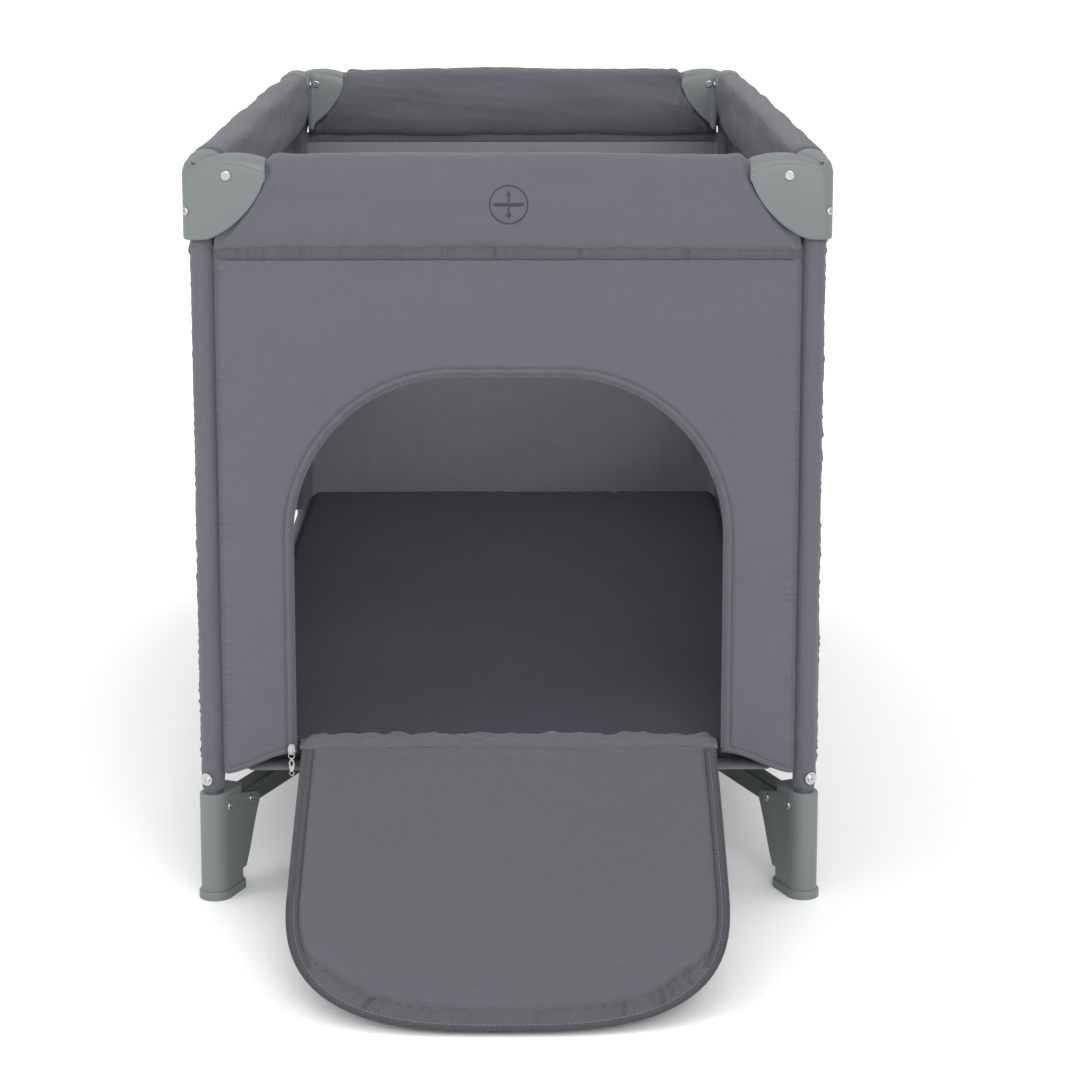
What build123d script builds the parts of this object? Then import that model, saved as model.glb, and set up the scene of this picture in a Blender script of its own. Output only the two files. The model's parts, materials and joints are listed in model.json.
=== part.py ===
from build123d import *
import math
import os

# Folding travel playpen: four padded walls hung between four upright posts, with a zipped
# crawl-through door in one short end. Every rail breaks in the middle at a lock, and four
# base bars meet at a hub, so that the corners draw together when the hub is pulled up.
# Origin: floor centre. +Z up, the door faces -Y. All sizes in millimetres.

# Driving dimensions
WIDTH = 650.0
LENGTH = 1250.0
HEIGHT = 779.0
ARM_THICK = 37.0
POST_X = (WIDTH - ARM_THICK) / 2
POST_Y = (LENGTH - ARM_THICK) / 2
TUBE_R = 10.0
TUBE_WALL = 1.5
FREE = 0.5
RUNNING = 0.05
PIN_R = 3.0
OPEN_PIN_R = 3.4

# Fold: every rail and base bar turns by the same angle, so one reach closes all of them
CLOSED_REACH = 95.0
RAIL_PIVOT = 26.5
RAIL_Z = 758.0
LOCK_PIVOT = CLOSED_REACH - RAIL_PIVOT
BAR_X = POST_X - CLOSED_REACH
BAR_Y = POST_Y - CLOSED_REACH
BAR_LENGTH = math.hypot(BAR_X, BAR_Y)
BAR_ANGLE = math.degrees(math.atan2(BAR_Y, BAR_X))
BAR_Z = 92.0
BAR_SIZE = 22.0
FOOT_PIVOT = 52.0
TUBE_END = 8.0

# Corner cap: a quarter-ellipse leaf on each of two arms
CAP_BOTTOM = 693.0
CAP_ARM = 89.0
CAP_CORNER_R = 14.0
CAP_WALL = 4.0
CAP_ROOF = 772.0
LEAF_HEIGHT = 80.0
LEAF_TIP_DROP = 6.0
LEAF_ROOT_DROP = 3.5
CROWN_PLACE = 45.0
RAIL_ROOM = 13.6
CAP_SCREW_Z = 722.0
CORNER_FACE = CAP_CORNER_R + (ARM_THICK / 2 - CAP_CORNER_R) * math.sqrt(2) + 0.02

# Foot
FOOT_TOP = 114.0
FOOT_R = 15.0
FOOT_SPREAD = 28.0
FOOT_FLANGE = 9.0
WING_HALF = 15.5
WING_TIP = 70.0
FOOT_SCREW = 5.0
FOOT_SCREW_Z = 98.0
POST_BOTTOM = 20.0
POST_TOP = 770.0

# Fasteners: head radius and depth of the rail pins, the cap and post screws, and the screws of the bars
RAIL_HEAD = (5.0, 2.0)
CAP_HEAD = (4.2, 1.8)
BAR_HEAD = (4.6, 1.8)
SCREW_R = 2.0
CROSS_WIDTH = 1.1
CROSS_DEPTH = 1.3
WASHER_R = 6.5
WASHER_THICK = 2.0
WASHER_Z = 131.0
WASHER_TURN = 25.0

# Middle locks of the rails and their buttons, as distances from the rail's axis
LOCK_HALF = 13.5
LOCK_BELOW = 14.0
LOCK_ABOVE = 13.0
LOCK_FLOOR = 10.0
LOCK_END = 11.0
BUTTON_R = 7.0
BUTTON_DROP = 20.0
COLLAR_R = 9.0

# Hub and its pull strap
HUB_R = 22.0
HUB_FOOT_R = 30.0
HUB_BELOW = 14.0
HUB_ABOVE = 20.0
FORK_WALL = 4.0
STRAP_HALF = 42.0
STRAP_RISE = 20.0
STRAP_THICK = 2.0
STRAP_WIDTH = 25.0

# Covers
SLEEVE_R = 12.5
SLEEVE_BOTTOM = 118.0
RAIL_SLEEVE_TOP = 777.0
RAIL_SLEEVE_BOTTOM = 680.0
RAIL_SLEEVE_START = 72.0
RAIL_SLEEVE_WAIST = 734.0
RAIL_SLEEVE_ROUND = 15.0
RAIL_SLEEVE_WALL = 4.0
SEAM_GAP = 0.5
PANEL_OUT = 15.5
PANEL_THICK = 8.0
PANEL_EDGE = 13.5
PANEL_BOTTOM = 136.0
HEM_RISE = 14.0
HEM_RUN = 72.0
FLOOR_Z = 138.0
FLOOR_THICK = 3.0
MATTRESS_Z = 142.0
MATTRESS_THICK = 27.0
MATTRESS_GAP = 13.0

# Door
DOOR_HALF = 219.0
DOOR_SILL = 158.0
DOOR_TOP = 553.0
DOOR_SHOULDER_R = 165.0
FLAP_HINGE_Z = 166.0
FLAP_HINGE_Y = -619.0
FLAP_HALF = 213.0
FLAP_LENGTH = 370.0
FLAP_THICK = 7.0
FLAP_TIP_Z = 5.0
FLAP_SHOULDER_R = 140.0
ZIP_X = -223.5
SLIDER_HALF = 4.5
SLIDER_LOW = 160.0
SLIDER_HIGH = 171.0
PULL_HALF = 3.5
PULL_LOW = 138.0

CORNERS = {
    "front_left": (-1, -1),
    "front_right": (1, -1),
    "back_left": (-1, 1),
    "back_right": (1, 1),
}


def block(low, high):
    """A box between two corners."""
    size = [high[i] - low[i] for i in range(3)]
    middle = [(high[i] + low[i]) / 2 for i in range(3)]
    return Pos(*middle) * Box(*size)


def rod(start, end, radius):
    """A cylinder from start to end."""
    way = Vector(*end) - Vector(*start)
    return extrude(Plane(start, z_dir=way) * Circle(radius), way.length)


def in_corner(shape, corner):
    """Moves a shape made for the front left corner to another one, by mirroring."""
    side, depth = CORNERS[corner]
    if side > 0:
        shape = mirror(shape, about=Plane.YZ)
    if depth > 0:
        shape = mirror(shape, about=Plane.XZ)
    return shape


def along_bar(shape):
    """Takes a shape from an X-directed layout at the post to the bar's direction."""
    return Pos(-POST_X, -POST_Y, 0) * Rot(0, 0, BAR_ANGLE) * shape


# ---------------------------------------------------------------- corner posts
def post_tube():
    """Upright steel tube, from inside the foot to inside the cap."""
    tube = rod((0, 0, POST_BOTTOM), (0, 0, POST_TOP), TUBE_R)
    return tube - rod((0, 0, POST_BOTTOM - 1), (0, 0, POST_TOP + 1), TUBE_R - TUBE_WALL)


def post_sleeve():
    """Fabric cover drawn over the post."""
    outer = rod((0, 0, SLEEVE_BOTTOM), (0, 0, CAP_BOTTOM - 1), SLEEVE_R)
    return outer - rod((0, 0, 0), (0, 0, HEIGHT), TUBE_R + 0.3)


def leaf(plane):
    """One arm of the cap: flat top with a slight crown, quarter-ellipse underside."""
    outer = -ARM_THICK / 2
    centre_z = CAP_BOTTOM + LEAF_HEIGHT
    curve = EllipticalCenterArc((outer, centre_z), CAP_ARM, LEAF_HEIGHT, start_angle=270, arc_size=84)
    tip = curve @ 1
    nose = Line(tip, (tip.X - 2.5, HEIGHT - LEAF_TIP_DROP))
    crown = ThreePointArc(nose @ 1, (outer + CROWN_PLACE, HEIGHT), (outer, HEIGHT - LEAF_ROOT_DROP))
    side = Line(crown @ 1, curve @ 0)
    return extrude(plane * make_face(Wire([curve, nose, crown, side])), ARM_THICK)


def corner_cap():
    """Moulded cap that holds the post and one end of two rails."""
    half = ARM_THICK / 2
    front = leaf(Plane((0, half, 0), x_dir=(1, 0, 0), z_dir=(0, -1, 0)))
    side = leaf(Plane((-half, 0, 0), x_dir=(0, 1, 0), z_dir=(1, 0, 0)))
    cap = front + side
    upright = [e for e in cap.edges().filter_by(Axis.Z)
               if abs(e.center().X + half) < 0.1 and abs(e.center().Y + half) < 0.1]
    cap = fillet(upright, CAP_CORNER_R)
    cap -= rod((0, 0, CAP_BOTTOM - 1), (0, 0, POST_TOP + 0.5), TUBE_R + 0.15)
    slot = half - CAP_WALL
    start = RAIL_PIVOT - RAIL_ROOM
    reach = CAP_ARM + 10.0
    cap -= block((start, -slot, CAP_BOTTOM - 1), (reach, slot, CAP_ROOF))
    cap -= block((-slot, start, CAP_BOTTOM - 1), (slot, reach, CAP_ROOF))
    for pin in rail_pins(PIN_R + 0.1):
        cap -= pin
    return cap - corner_screw(0.1)


def rail_pins(radius):
    """The two pins that the rails turn on, from face to face of each arm."""
    half = ARM_THICK / 2
    front = rod((RAIL_PIVOT, -half, RAIL_Z), (RAIL_PIVOT, half, RAIL_Z), radius)
    side = rod((-half, RAIL_PIVOT, RAIL_Z), (half, RAIL_PIVOT, RAIL_Z), radius)
    return [front, side]


def corner_screw(gap):
    """Screw through the cap's rounded corner into the post."""
    way = math.sqrt(0.5)
    start = (TUBE_R + 0.4 - gap) * way
    end = CORNER_FACE * way
    return rod((-start, -start, CAP_SCREW_Z), (-end, -end, CAP_SCREW_Z), SCREW_R + gap)


def pan_head(place, way, radius, depth):
    """Rounded screw head with a cross recess, standing on a face."""
    plane = Plane(place, z_dir=way)
    head = extrude(plane * Circle(radius), depth)
    outer_face = head.faces().sort_by(lambda face: (face.center() - Vector(*place)).dot(Vector(*way)))[-1]
    head = fillet(outer_face.edges(), depth * 0.6)
    floor = plane * Pos(0, 0, depth + 0.1 - CROSS_DEPTH / 2)
    cut = floor * Box(radius * 1.2, CROSS_WIDTH, CROSS_DEPTH)
    cross = floor * Box(CROSS_WIDTH, radius * 1.2, CROSS_DEPTH)
    return head - cut - cross


def corner_screws():
    """All fasteners of one corner: two rail pins, the cap screw, and those of the foot."""
    half = ARM_THICK / 2
    front, side = rail_pins(PIN_R)
    solids = [
        front + pan_head((RAIL_PIVOT, -half, RAIL_Z), (0, -1, 0), *RAIL_HEAD)
        + pan_head((RAIL_PIVOT, half, RAIL_Z), (0, 1, 0), *RAIL_HEAD),
        side + pan_head((-half, RAIL_PIVOT, RAIL_Z), (-1, 0, 0), *RAIL_HEAD)
        + pan_head((half, RAIL_PIVOT, RAIL_Z), (1, 0, 0), *RAIL_HEAD),
    ]
    way = math.sqrt(0.5)
    face = CORNER_FACE * way
    solids.append(corner_screw(0) + pan_head((-face, -face, CAP_SCREW_Z), (-way, -way, 0), *CAP_HEAD))
    turn = math.radians(WASHER_TURN)
    aim = (-math.sin(turn), -math.cos(turn), 0)
    near = SLEEVE_R + 0.2
    far = near + WASHER_THICK
    washer = rod((aim[0] * near, aim[1] * near, WASHER_Z), (aim[0] * far, aim[1] * far, WASHER_Z), WASHER_R)
    solids.append(washer + pan_head((aim[0] * far, aim[1] * far, WASHER_Z), aim, *CAP_HEAD))
    solids = [Pos(-POST_X, -POST_Y, 0) * s for s in solids]
    outer = WING_HALF
    inner = TUBE_R + 0.4
    for reach, height in ((FOOT_SCREW, FOOT_SCREW_Z), (FOOT_PIVOT, BAR_Z)):
        near = pan_head((reach, -outer, height), (0, -1, 0), *BAR_HEAD)
        far = pan_head((reach, outer, height), (0, 1, 0), *BAR_HEAD)
        if reach == FOOT_SCREW:
            parts = [near + rod((reach, -outer, height), (reach, -inner, height), SCREW_R),
                     far + rod((reach, inner, height), (reach, outer, height), SCREW_R)]
        else:
            parts = [near + far + rod((reach, -outer, height), (reach, outer, height), PIN_R)]
        solids += [along_bar(p) for p in parts]
    return Compound(children=solids)


def foot():
    """Moulded foot: a barrel round the post and a slotted wing that holds the base bar."""
    plan = Pos(FOOT_SPREAD / 2, 0) * SlotCenterToCenter(FOOT_SPREAD, 2 * FOOT_R)
    barrel = extrude(plan, FOOT_TOP)
    barrel = fillet(barrel.faces().sort_by(Axis.Z)[-1].edges(), 2.0)
    flange = extrude(Pos(FOOT_SPREAD / 2, 0) * SlotCenterToCenter(FOOT_SPREAD, 2 * FOOT_R + 5), FOOT_FLANGE)
    flange = fillet(flange.faces().sort_by(Axis.Z)[-1].edges(), 2.4)
    top = Line((0, FOOT_TOP - 2), (WING_TIP - 4, 95.5))
    nose = ThreePointArc(top @ 1, (WING_TIP, 91.0), (WING_TIP - 1.5, 82.0))
    under = Spline([nose @ 1, (58.0, 62.0), (48.0, 40.0), (38.0, 22.0)])
    back = Line(under @ 1, (0, 22))
    close = Line(back @ 1, top @ 0)
    side = make_face(Wire([top, nose, under, back, close]))
    wing = extrude(Plane((0, WING_HALF, 0), x_dir=(1, 0, 0), z_dir=(0, -1, 0)) * side, 2 * WING_HALF)
    body = barrel + flange + wing
    half = BAR_SIZE / 2 + FREE
    body -= block((FOOT_PIVOT - 15.0, -half, BAR_Z - 15.0), (WING_TIP + 10, half, FOOT_TOP + 10))
    body -= rod((0, 0, POST_BOTTOM - 0.5), (0, 0, FOOT_TOP + 1), TUBE_R + 0.15)
    body -= rod((FOOT_PIVOT, -20, BAR_Z), (FOOT_PIVOT, 20, BAR_Z), PIN_R + 0.1)
    body -= rod((FOOT_SCREW, -20, FOOT_SCREW_Z), (FOOT_SCREW, 20, FOOT_SCREW_Z), 2.1)
    return along_bar(body)


# ---------------------------------------------------------------- top rails
def half_rail(length):
    """Rail tube with its two pivot holes, lying along +X from the cap pivot at the origin."""
    tube = rod((-TUBE_END, 0, 0), (length + TUBE_END, 0, 0), TUBE_R)
    tube -= rod((-TUBE_END - 1, 0, 0), (length + TUBE_END + 1, 0, 0), TUBE_R - TUBE_WALL)
    return tube


def drilled_rail(length, lock_hole):
    """A half rail with running fits at both ends; the far hole's radius is given."""
    tube = half_rail(length)
    tube -= rod((0, -20, 0), (0, 20, 0), PIN_R + RUNNING)
    return tube - rod((length, -20, 0), (length, 20, 0), lock_hole)


def lock_housing():
    """Channel at the middle of a rail, along X, open upwards where the half rails turn."""
    half = LOCK_HALF
    reach = LOCK_PIVOT + LOCK_END
    body = block((-reach, -half, RAIL_Z - LOCK_BELOW), (reach, half, RAIL_Z + LOCK_ABOVE))
    ends = [e for e in body.edges().filter_by(Axis.Y) if abs(e.center().X) > reach - 1]
    body = fillet(ends, 9.0)
    body -= block((-reach - 1, -TUBE_R - 0.4, RAIL_Z - LOCK_FLOOR), (reach + 1, TUBE_R + 0.4, RAIL_Z + 20))
    free_end = LOCK_PIVOT - 14.0
    for side in (-1, 1):
        low = min(side * free_end, side * (reach + 1))
        high = max(side * free_end, side * (reach + 1))
        body -= block((low, -TUBE_R - 0.4, RAIL_Z - 20), (high, TUBE_R + 0.4, RAIL_Z + 20))
        body += rod((side * LOCK_PIVOT, -half, RAIL_Z), (side * LOCK_PIVOT, half, RAIL_Z), PIN_R)
    return body - rod((0, 0, RAIL_Z - 20), (0, 0, RAIL_Z - 5), BUTTON_R + 0.3)


def lock_button():
    """Push button under the lock, with a collar that keeps it in the housing."""
    stem = rod((0, 0, RAIL_Z - BUTTON_DROP), (0, 0, RAIL_Z - 9), BUTTON_R)
    stem = fillet(stem.faces().sort_by(Axis.Z)[0].edges(), 1.5)
    return stem + rod((0, 0, RAIL_Z - 9.5), (0, 0, RAIL_Z - 7.5), COLLAR_R)


def rail_sleeve(length):
    """Padded cover of half a rail, along +X, with the room inside for the tube and lock."""
    half = ARM_THICK / 2
    top = RAIL_SLEEVE_TOP
    bottom = RAIL_SLEEVE_BOTTOM
    corners = [(-half, bottom), (-half, top), (half, top), (half, RAIL_SLEEVE_WAIST), (-2.0, bottom)]
    outline = Polyline(*corners, close=True)
    section = fillet((make_face(outline)).vertices().sort_by(Axis.Y)[-2:], RAIL_SLEEVE_ROUND)
    body = extrude(Plane.YZ * section, length)
    room = half - RAIL_SLEEVE_WALL
    return body - block((-1, -room, RAIL_Z - 22), (length + 1, room, RAIL_Z + 14))


# Each wall: how far it is turned from the front one, half its rail between post axes, and its distance from
# the middle
WALLS = {
    "front": (0, POST_X, POST_Y),
    "right": (90, POST_Y, POST_X),
    "back": (180, POST_X, POST_Y),
    "left": (270, POST_Y, POST_X),
}
# The first half of each wall is on the low end of its own X before it is turned into place
HALVES = {
    "front": ("left", "right"),
    "right": ("front", "back"),
    "back": ("right", "left"),
    "left": ("back", "front"),
}
FIRST_HALF_CARRIES_LOCK = {"front": True, "right": True, "back": False, "left": False}


def on_wall(shape, wall):
    """Takes a shape made about the wall's own middle, its outside towards -Y, into place."""
    turn, _, across = WALLS[wall]
    return Rot(0, 0, turn) * Pos(0, -across, 0) * shape


def wall_rails(wall):
    """Half rails, sleeves, lock and button of one wall, as node names and shapes."""
    _, reach, _ = WALLS[wall]
    length = reach - CLOSED_REACH
    start = reach - RAIL_PIVOT
    sleeve_start = reach - RAIL_SLEEVE_START
    made = {}
    for order, half_name in enumerate(HALVES[wall]):
        carries = FIRST_HALF_CARRIES_LOCK[wall] == (order == 0)
        tube = Pos(-start, 0, RAIL_Z) * drilled_rail(length, PIN_R + RUNNING if carries else OPEN_PIN_R)
        cover = Pos(-sleeve_start, 0, 0) * rail_sleeve(sleeve_start - 0.4)
        if order == 1:
            tube = mirror(tube, about=Plane.YZ)
            cover = mirror(cover, about=Plane.YZ)
        made[f"rail_{wall}_{half_name}"] = on_wall(tube, wall)
        made[f"rail_sleeve_{wall}_{half_name}"] = on_wall(cover, wall)
    made[f"lock_{wall}"] = on_wall(lock_housing(), wall)
    made[f"lock_button_{wall}"] = on_wall(lock_button(), wall)
    return made


# ---------------------------------------------------------------- base
def base_bar():
    """Square tube between the foot pivot and the hub pivot of the front left corner."""
    half = BAR_SIZE / 2
    start = FOOT_PIVOT - 9.0
    end = FOOT_PIVOT + BAR_LENGTH + 9.0
    bar = block((start, -half, BAR_Z - half), (end, half, BAR_Z + half))
    bar = fillet(bar.edges().filter_by(Axis.X), 3.0)
    bar -= block((start - 1, -half + 2, BAR_Z - half + 2), (end + 1, half - 2, BAR_Z + half - 2))
    for place in (FOOT_PIVOT, FOOT_PIVOT + BAR_LENGTH):
        bar -= rod((place, -20, BAR_Z), (place, 20, BAR_Z), PIN_R + RUNNING)
    return along_bar(bar)


def hub_arm():
    """Fork of the hub that holds one bar, open below and at its outer end."""
    outer = BAR_SIZE / 2 + FREE + FORK_WALL
    inner = BAR_SIZE / 2 + FREE
    pivot = FOOT_PIVOT + BAR_LENGTH
    arm = block((pivot - 14, -outer, BAR_Z - HUB_BELOW), (pivot + 60, outer, BAR_Z + HUB_ABOVE))
    corners = [e for e in arm.edges().filter_by(Axis.Y) if e.center().X < pivot - 10]
    arm = fillet(corners, 8.0)
    arm -= block((pivot - 20, -inner, BAR_Z - 20), (pivot + 15.5, inner, BAR_Z + 15.5))
    arm -= rod((pivot, -20, BAR_Z), (pivot, 20, BAR_Z), PIN_R + 0.1)
    return along_bar(arm)


def hub():
    """Centre hub on its own foot, with four forks for the base bars."""
    body = rod((0, 0, 0), (0, 0, BAR_Z + HUB_ABOVE), HUB_R)
    body += fillet(rod((0, 0, 0), (0, 0, 9), HUB_FOOT_R).edges().group_by(Axis.Z)[-1], 2.5)
    body += block((-56, -24, BAR_Z - HUB_BELOW), (56, 24, BAR_Z + HUB_ABOVE))
    for corner in CORNERS:
        body += in_corner(hub_arm(), corner)
    return body


def hub_pins():
    """The four pins that join the bars to the hub."""
    outer = BAR_SIZE / 2 + FREE + FORK_WALL
    pivot = FOOT_PIVOT + BAR_LENGTH
    pin = rod((pivot, -outer, BAR_Z), (pivot, outer, BAR_Z), PIN_R)
    pin += pan_head((pivot, -outer, BAR_Z), (0, -1, 0), *BAR_HEAD)
    pin += pan_head((pivot, outer, BAR_Z), (0, 1, 0), *BAR_HEAD)
    return Compound(children=[in_corner(along_bar(pin), corner) for corner in CORNERS])


def pull_strap():
    """Webbing loop on the hub that lifts it to start the fold."""
    low = BAR_Z + HUB_ABOVE + 0.3
    plane = Plane((0, STRAP_WIDTH / 2, low), x_dir=(1, 0, 0), z_dir=(0, -1, 0))
    outer = plane * Ellipse(STRAP_HALF, STRAP_RISE)
    inner = plane * Ellipse(STRAP_HALF - STRAP_THICK, STRAP_RISE - STRAP_THICK)
    loop = extrude(outer, STRAP_WIDTH) - extrude(inner, STRAP_WIDTH)
    loop = loop & block((-50, -20, low), (50, 20, low + 30))
    end = STRAP_HALF - 1
    return loop + block((-end, -STRAP_WIDTH / 2, low), (end, STRAP_WIDTH / 2, low + STRAP_THICK))


# ---------------------------------------------------------------- fabric walls
def arch(half, sill, top, shoulder, plane, thick):
    """Door shape: straight sides, round shoulders and a nearly flat crown."""
    centre_x = half - shoulder
    centre_z = top - shoulder
    left = ThreePointArc((-half, centre_z),
                         (-centre_x - shoulder * math.sqrt(0.5), centre_z + shoulder * math.sqrt(0.5)),
                         (-centre_x, top))
    right = ThreePointArc((centre_x, top),
                          (centre_x + shoulder * math.sqrt(0.5), centre_z + shoulder * math.sqrt(0.5)),
                          (half, centre_z))
    crown = Line(left @ 1, right @ 0)
    down = Line(right @ 1, (half, sill))
    base = Line(down @ 1, (-half, sill))
    up = Line(base @ 1, left @ 0)
    return extrude(plane * make_face(Wire([left, crown, right, down, base, up])), thick)


def wall_panel(wall):
    """Fabric wall between two posts, from its hem to the rail sleeve's seam."""
    _, reach, _ = WALLS[wall]
    edge = reach - PANEL_EDGE
    low = PANEL_BOTTOM
    outline = Wire([
        Line((-edge, RAIL_SLEEVE_BOTTOM - SEAM_GAP), (-edge, low)),
        Spline([(-edge, low), (-edge + HEM_RUN / 2, low + 8), (-edge + HEM_RUN, low + HEM_RISE)],
               tangents=[(1, 0.1), (1, 0)]),
        Line((-edge + HEM_RUN, low + HEM_RISE), (edge - HEM_RUN, low + HEM_RISE)),
        Spline([(edge - HEM_RUN, low + HEM_RISE), (edge - HEM_RUN / 2, low + 8), (edge, low)],
               tangents=[(1, 0), (1, -0.1)]),
        Line((edge, low), (edge, RAIL_SLEEVE_BOTTOM - SEAM_GAP)),
        Line((edge, RAIL_SLEEVE_BOTTOM - SEAM_GAP), (-edge, RAIL_SLEEVE_BOTTOM - SEAM_GAP)),
    ])
    back = Plane((0, -PANEL_OUT + PANEL_THICK, 0), x_dir=(1, 0, 0), z_dir=(0, -1, 0))
    panel = extrude(back * make_face(outline), PANEL_THICK)
    if wall == "front":
        wide = Plane((0, 0, 0), x_dir=(1, 0, 0), z_dir=(0, -1, 0))
        panel -= arch(DOOR_HALF, DOOR_SILL, DOOR_TOP, DOOR_SHOULDER_R, wide, 40)
    return on_wall(panel, wall)


def floor_sheet():
    """Fabric floor, cut off at the corners for the feet."""
    half_x = POST_X - 9.0
    half_y = POST_Y - 9.0
    sheet = block((-half_x, -half_y, FLOOR_Z), (half_x, half_y, FLOOR_Z + FLOOR_THICK))
    upright = sheet.edges().filter_by(Axis.Z)
    return chamfer(upright, 40.0)


def mattress():
    """Padded mattress that lifts out."""
    half_x = POST_X - MATTRESS_GAP
    half_y = POST_Y - MATTRESS_GAP
    pad = block((-half_x, -half_y, MATTRESS_Z), (half_x, half_y, MATTRESS_Z + MATTRESS_THICK))
    pad = fillet(pad.edges().filter_by(Axis.Z), 30.0)
    return fillet(pad.faces().sort_by(Axis.Z)[-1].edges(), 8.0)


def flap():
    """Door flap, hinged at the sill and lying forward with its end on the floor."""
    slope = math.asin((FLAP_HINGE_Z - FLAP_TIP_Z) / FLAP_LENGTH)
    way = (0, -math.cos(slope), -math.sin(slope))
    up = (0, math.sin(slope), -math.cos(slope))
    start = (0, FLAP_HINGE_Y - up[1] * FLAP_THICK / 2, FLAP_HINGE_Z - up[2] * FLAP_THICK / 2)
    plane = Plane(start, x_dir=(1, 0, 0), z_dir=Vector(1, 0, 0).cross(Vector(*way)))
    return arch(FLAP_HALF, 3.0, FLAP_LENGTH, FLAP_SHOULDER_R, plane, FLAP_THICK)


def zip_slider():
    """Zip slider at the foot of the door's left side."""
    out = -POST_Y - PANEL_OUT
    body = block((ZIP_X - SLIDER_HALF, out - 5.5, SLIDER_LOW), (ZIP_X + SLIDER_HALF, out - 0.5, SLIDER_HIGH))
    body = fillet(body.edges().filter_by(Axis.Y), 2.0)
    bridge = block((ZIP_X - 1.2, out - 7.5, SLIDER_LOW + 2), (ZIP_X + 1.2, out - 5.5, SLIDER_HIGH - 1))
    return body + bridge


def zip_pull():
    """Pull tab that hangs from the slider."""
    out = -POST_Y - PANEL_OUT
    tab = block((ZIP_X - PULL_HALF, out - 7.6, PULL_LOW), (ZIP_X + PULL_HALF, out - 6.2, SLIDER_LOW - 1))
    tab = fillet(tab.edges().filter_by(Axis.Y), 3.0)
    return tab - rod((ZIP_X, out - 10, PULL_LOW + 5), (ZIP_X, out, PULL_LOW + 5), 1.6)


def all_nodes():
    """Every sub-part by node name."""
    made = {}
    post_place = Pos(-POST_X, -POST_Y, 0)
    corner_parts = {
        "post": post_place * post_tube(),
        "post_sleeve": post_place * post_sleeve(),
        "corner_cap": post_place * corner_cap(),
        "corner_screws": corner_screws(),
        "foot": foot(),
        "base_bar": base_bar(),
    }
    for corner in CORNERS:
        for name, shape in corner_parts.items():
            made[f"{name}_{corner}"] = in_corner(shape, corner)
    for wall in WALLS:
        made.update(wall_rails(wall))
        made[f"panel_{wall}"] = wall_panel(wall)
    made["hub"] = hub()
    made["hub_pins"] = hub_pins()
    made["pull_strap"] = pull_strap()
    made["floor"] = floor_sheet()
    made["mattress"] = mattress()
    made["door_flap"] = flap()
    made["zip_slider"] = zip_slider()
    made["zip_pull"] = zip_pull()
    return made


os.makedirs("parts", exist_ok=True)
for node, shape in all_nodes().items():
    export_step(shape, f"parts/{node}.step")
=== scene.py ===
"""Looks of the folding playpen: fabric, caps, zip, netting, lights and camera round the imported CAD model."""
import json
import math

import bmesh
import bpy
import numpy as np
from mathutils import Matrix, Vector, kdtree
from mathutils.geometry import delaunay_2d_cdt


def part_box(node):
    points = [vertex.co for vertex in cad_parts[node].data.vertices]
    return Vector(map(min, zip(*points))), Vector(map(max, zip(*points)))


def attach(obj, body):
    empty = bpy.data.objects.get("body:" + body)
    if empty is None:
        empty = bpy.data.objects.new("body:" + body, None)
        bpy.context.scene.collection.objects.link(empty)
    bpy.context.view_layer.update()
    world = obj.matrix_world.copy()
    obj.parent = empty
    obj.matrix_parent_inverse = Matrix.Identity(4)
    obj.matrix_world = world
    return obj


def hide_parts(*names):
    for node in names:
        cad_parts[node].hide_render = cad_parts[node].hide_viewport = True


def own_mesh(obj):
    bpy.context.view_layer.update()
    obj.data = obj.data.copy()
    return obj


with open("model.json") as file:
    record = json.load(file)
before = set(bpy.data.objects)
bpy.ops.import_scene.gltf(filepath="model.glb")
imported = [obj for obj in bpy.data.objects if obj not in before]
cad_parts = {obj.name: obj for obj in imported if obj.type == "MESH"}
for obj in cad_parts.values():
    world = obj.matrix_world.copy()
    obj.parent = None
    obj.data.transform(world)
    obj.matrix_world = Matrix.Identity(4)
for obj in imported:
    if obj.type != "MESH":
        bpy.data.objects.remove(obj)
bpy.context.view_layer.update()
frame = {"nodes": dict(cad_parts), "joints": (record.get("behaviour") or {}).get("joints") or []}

# ---------------------------------------------------------------- places, all from the CAD nodes, in metres
post_low, post_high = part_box("post_front_left")
POST_X = -(post_low.x + post_high.x) / 2
POST_Y = -(post_low.y + post_high.y) / 2
cap_low, cap_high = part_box("corner_cap_front_left")
CAP_HALF = -POST_Y - cap_low.y
CAP_BOTTOM, CAP_TOP = cap_low.z, cap_high.z
panel_low, panel_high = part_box("panel_front")
PANEL_OUT = -POST_Y - panel_low.y
HEM_Z, SEAM_Z = panel_low.z, panel_high.z + .008
RAIL_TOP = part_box("rail_sleeve_front_left")[1].z
pad_low, pad_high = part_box("mattress")
FLOOR_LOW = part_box("floor")[0].z
cover_low, cover_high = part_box("post_sleeve_front_left")
slider_low, slider_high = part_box("zip_slider")

WALLS = {
    "front": (0, POST_X, POST_Y),
    "right": (90, POST_Y, POST_X),
    "back": (180, POST_X, POST_Y),
    "left": (270, POST_Y, POST_X),
}
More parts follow.
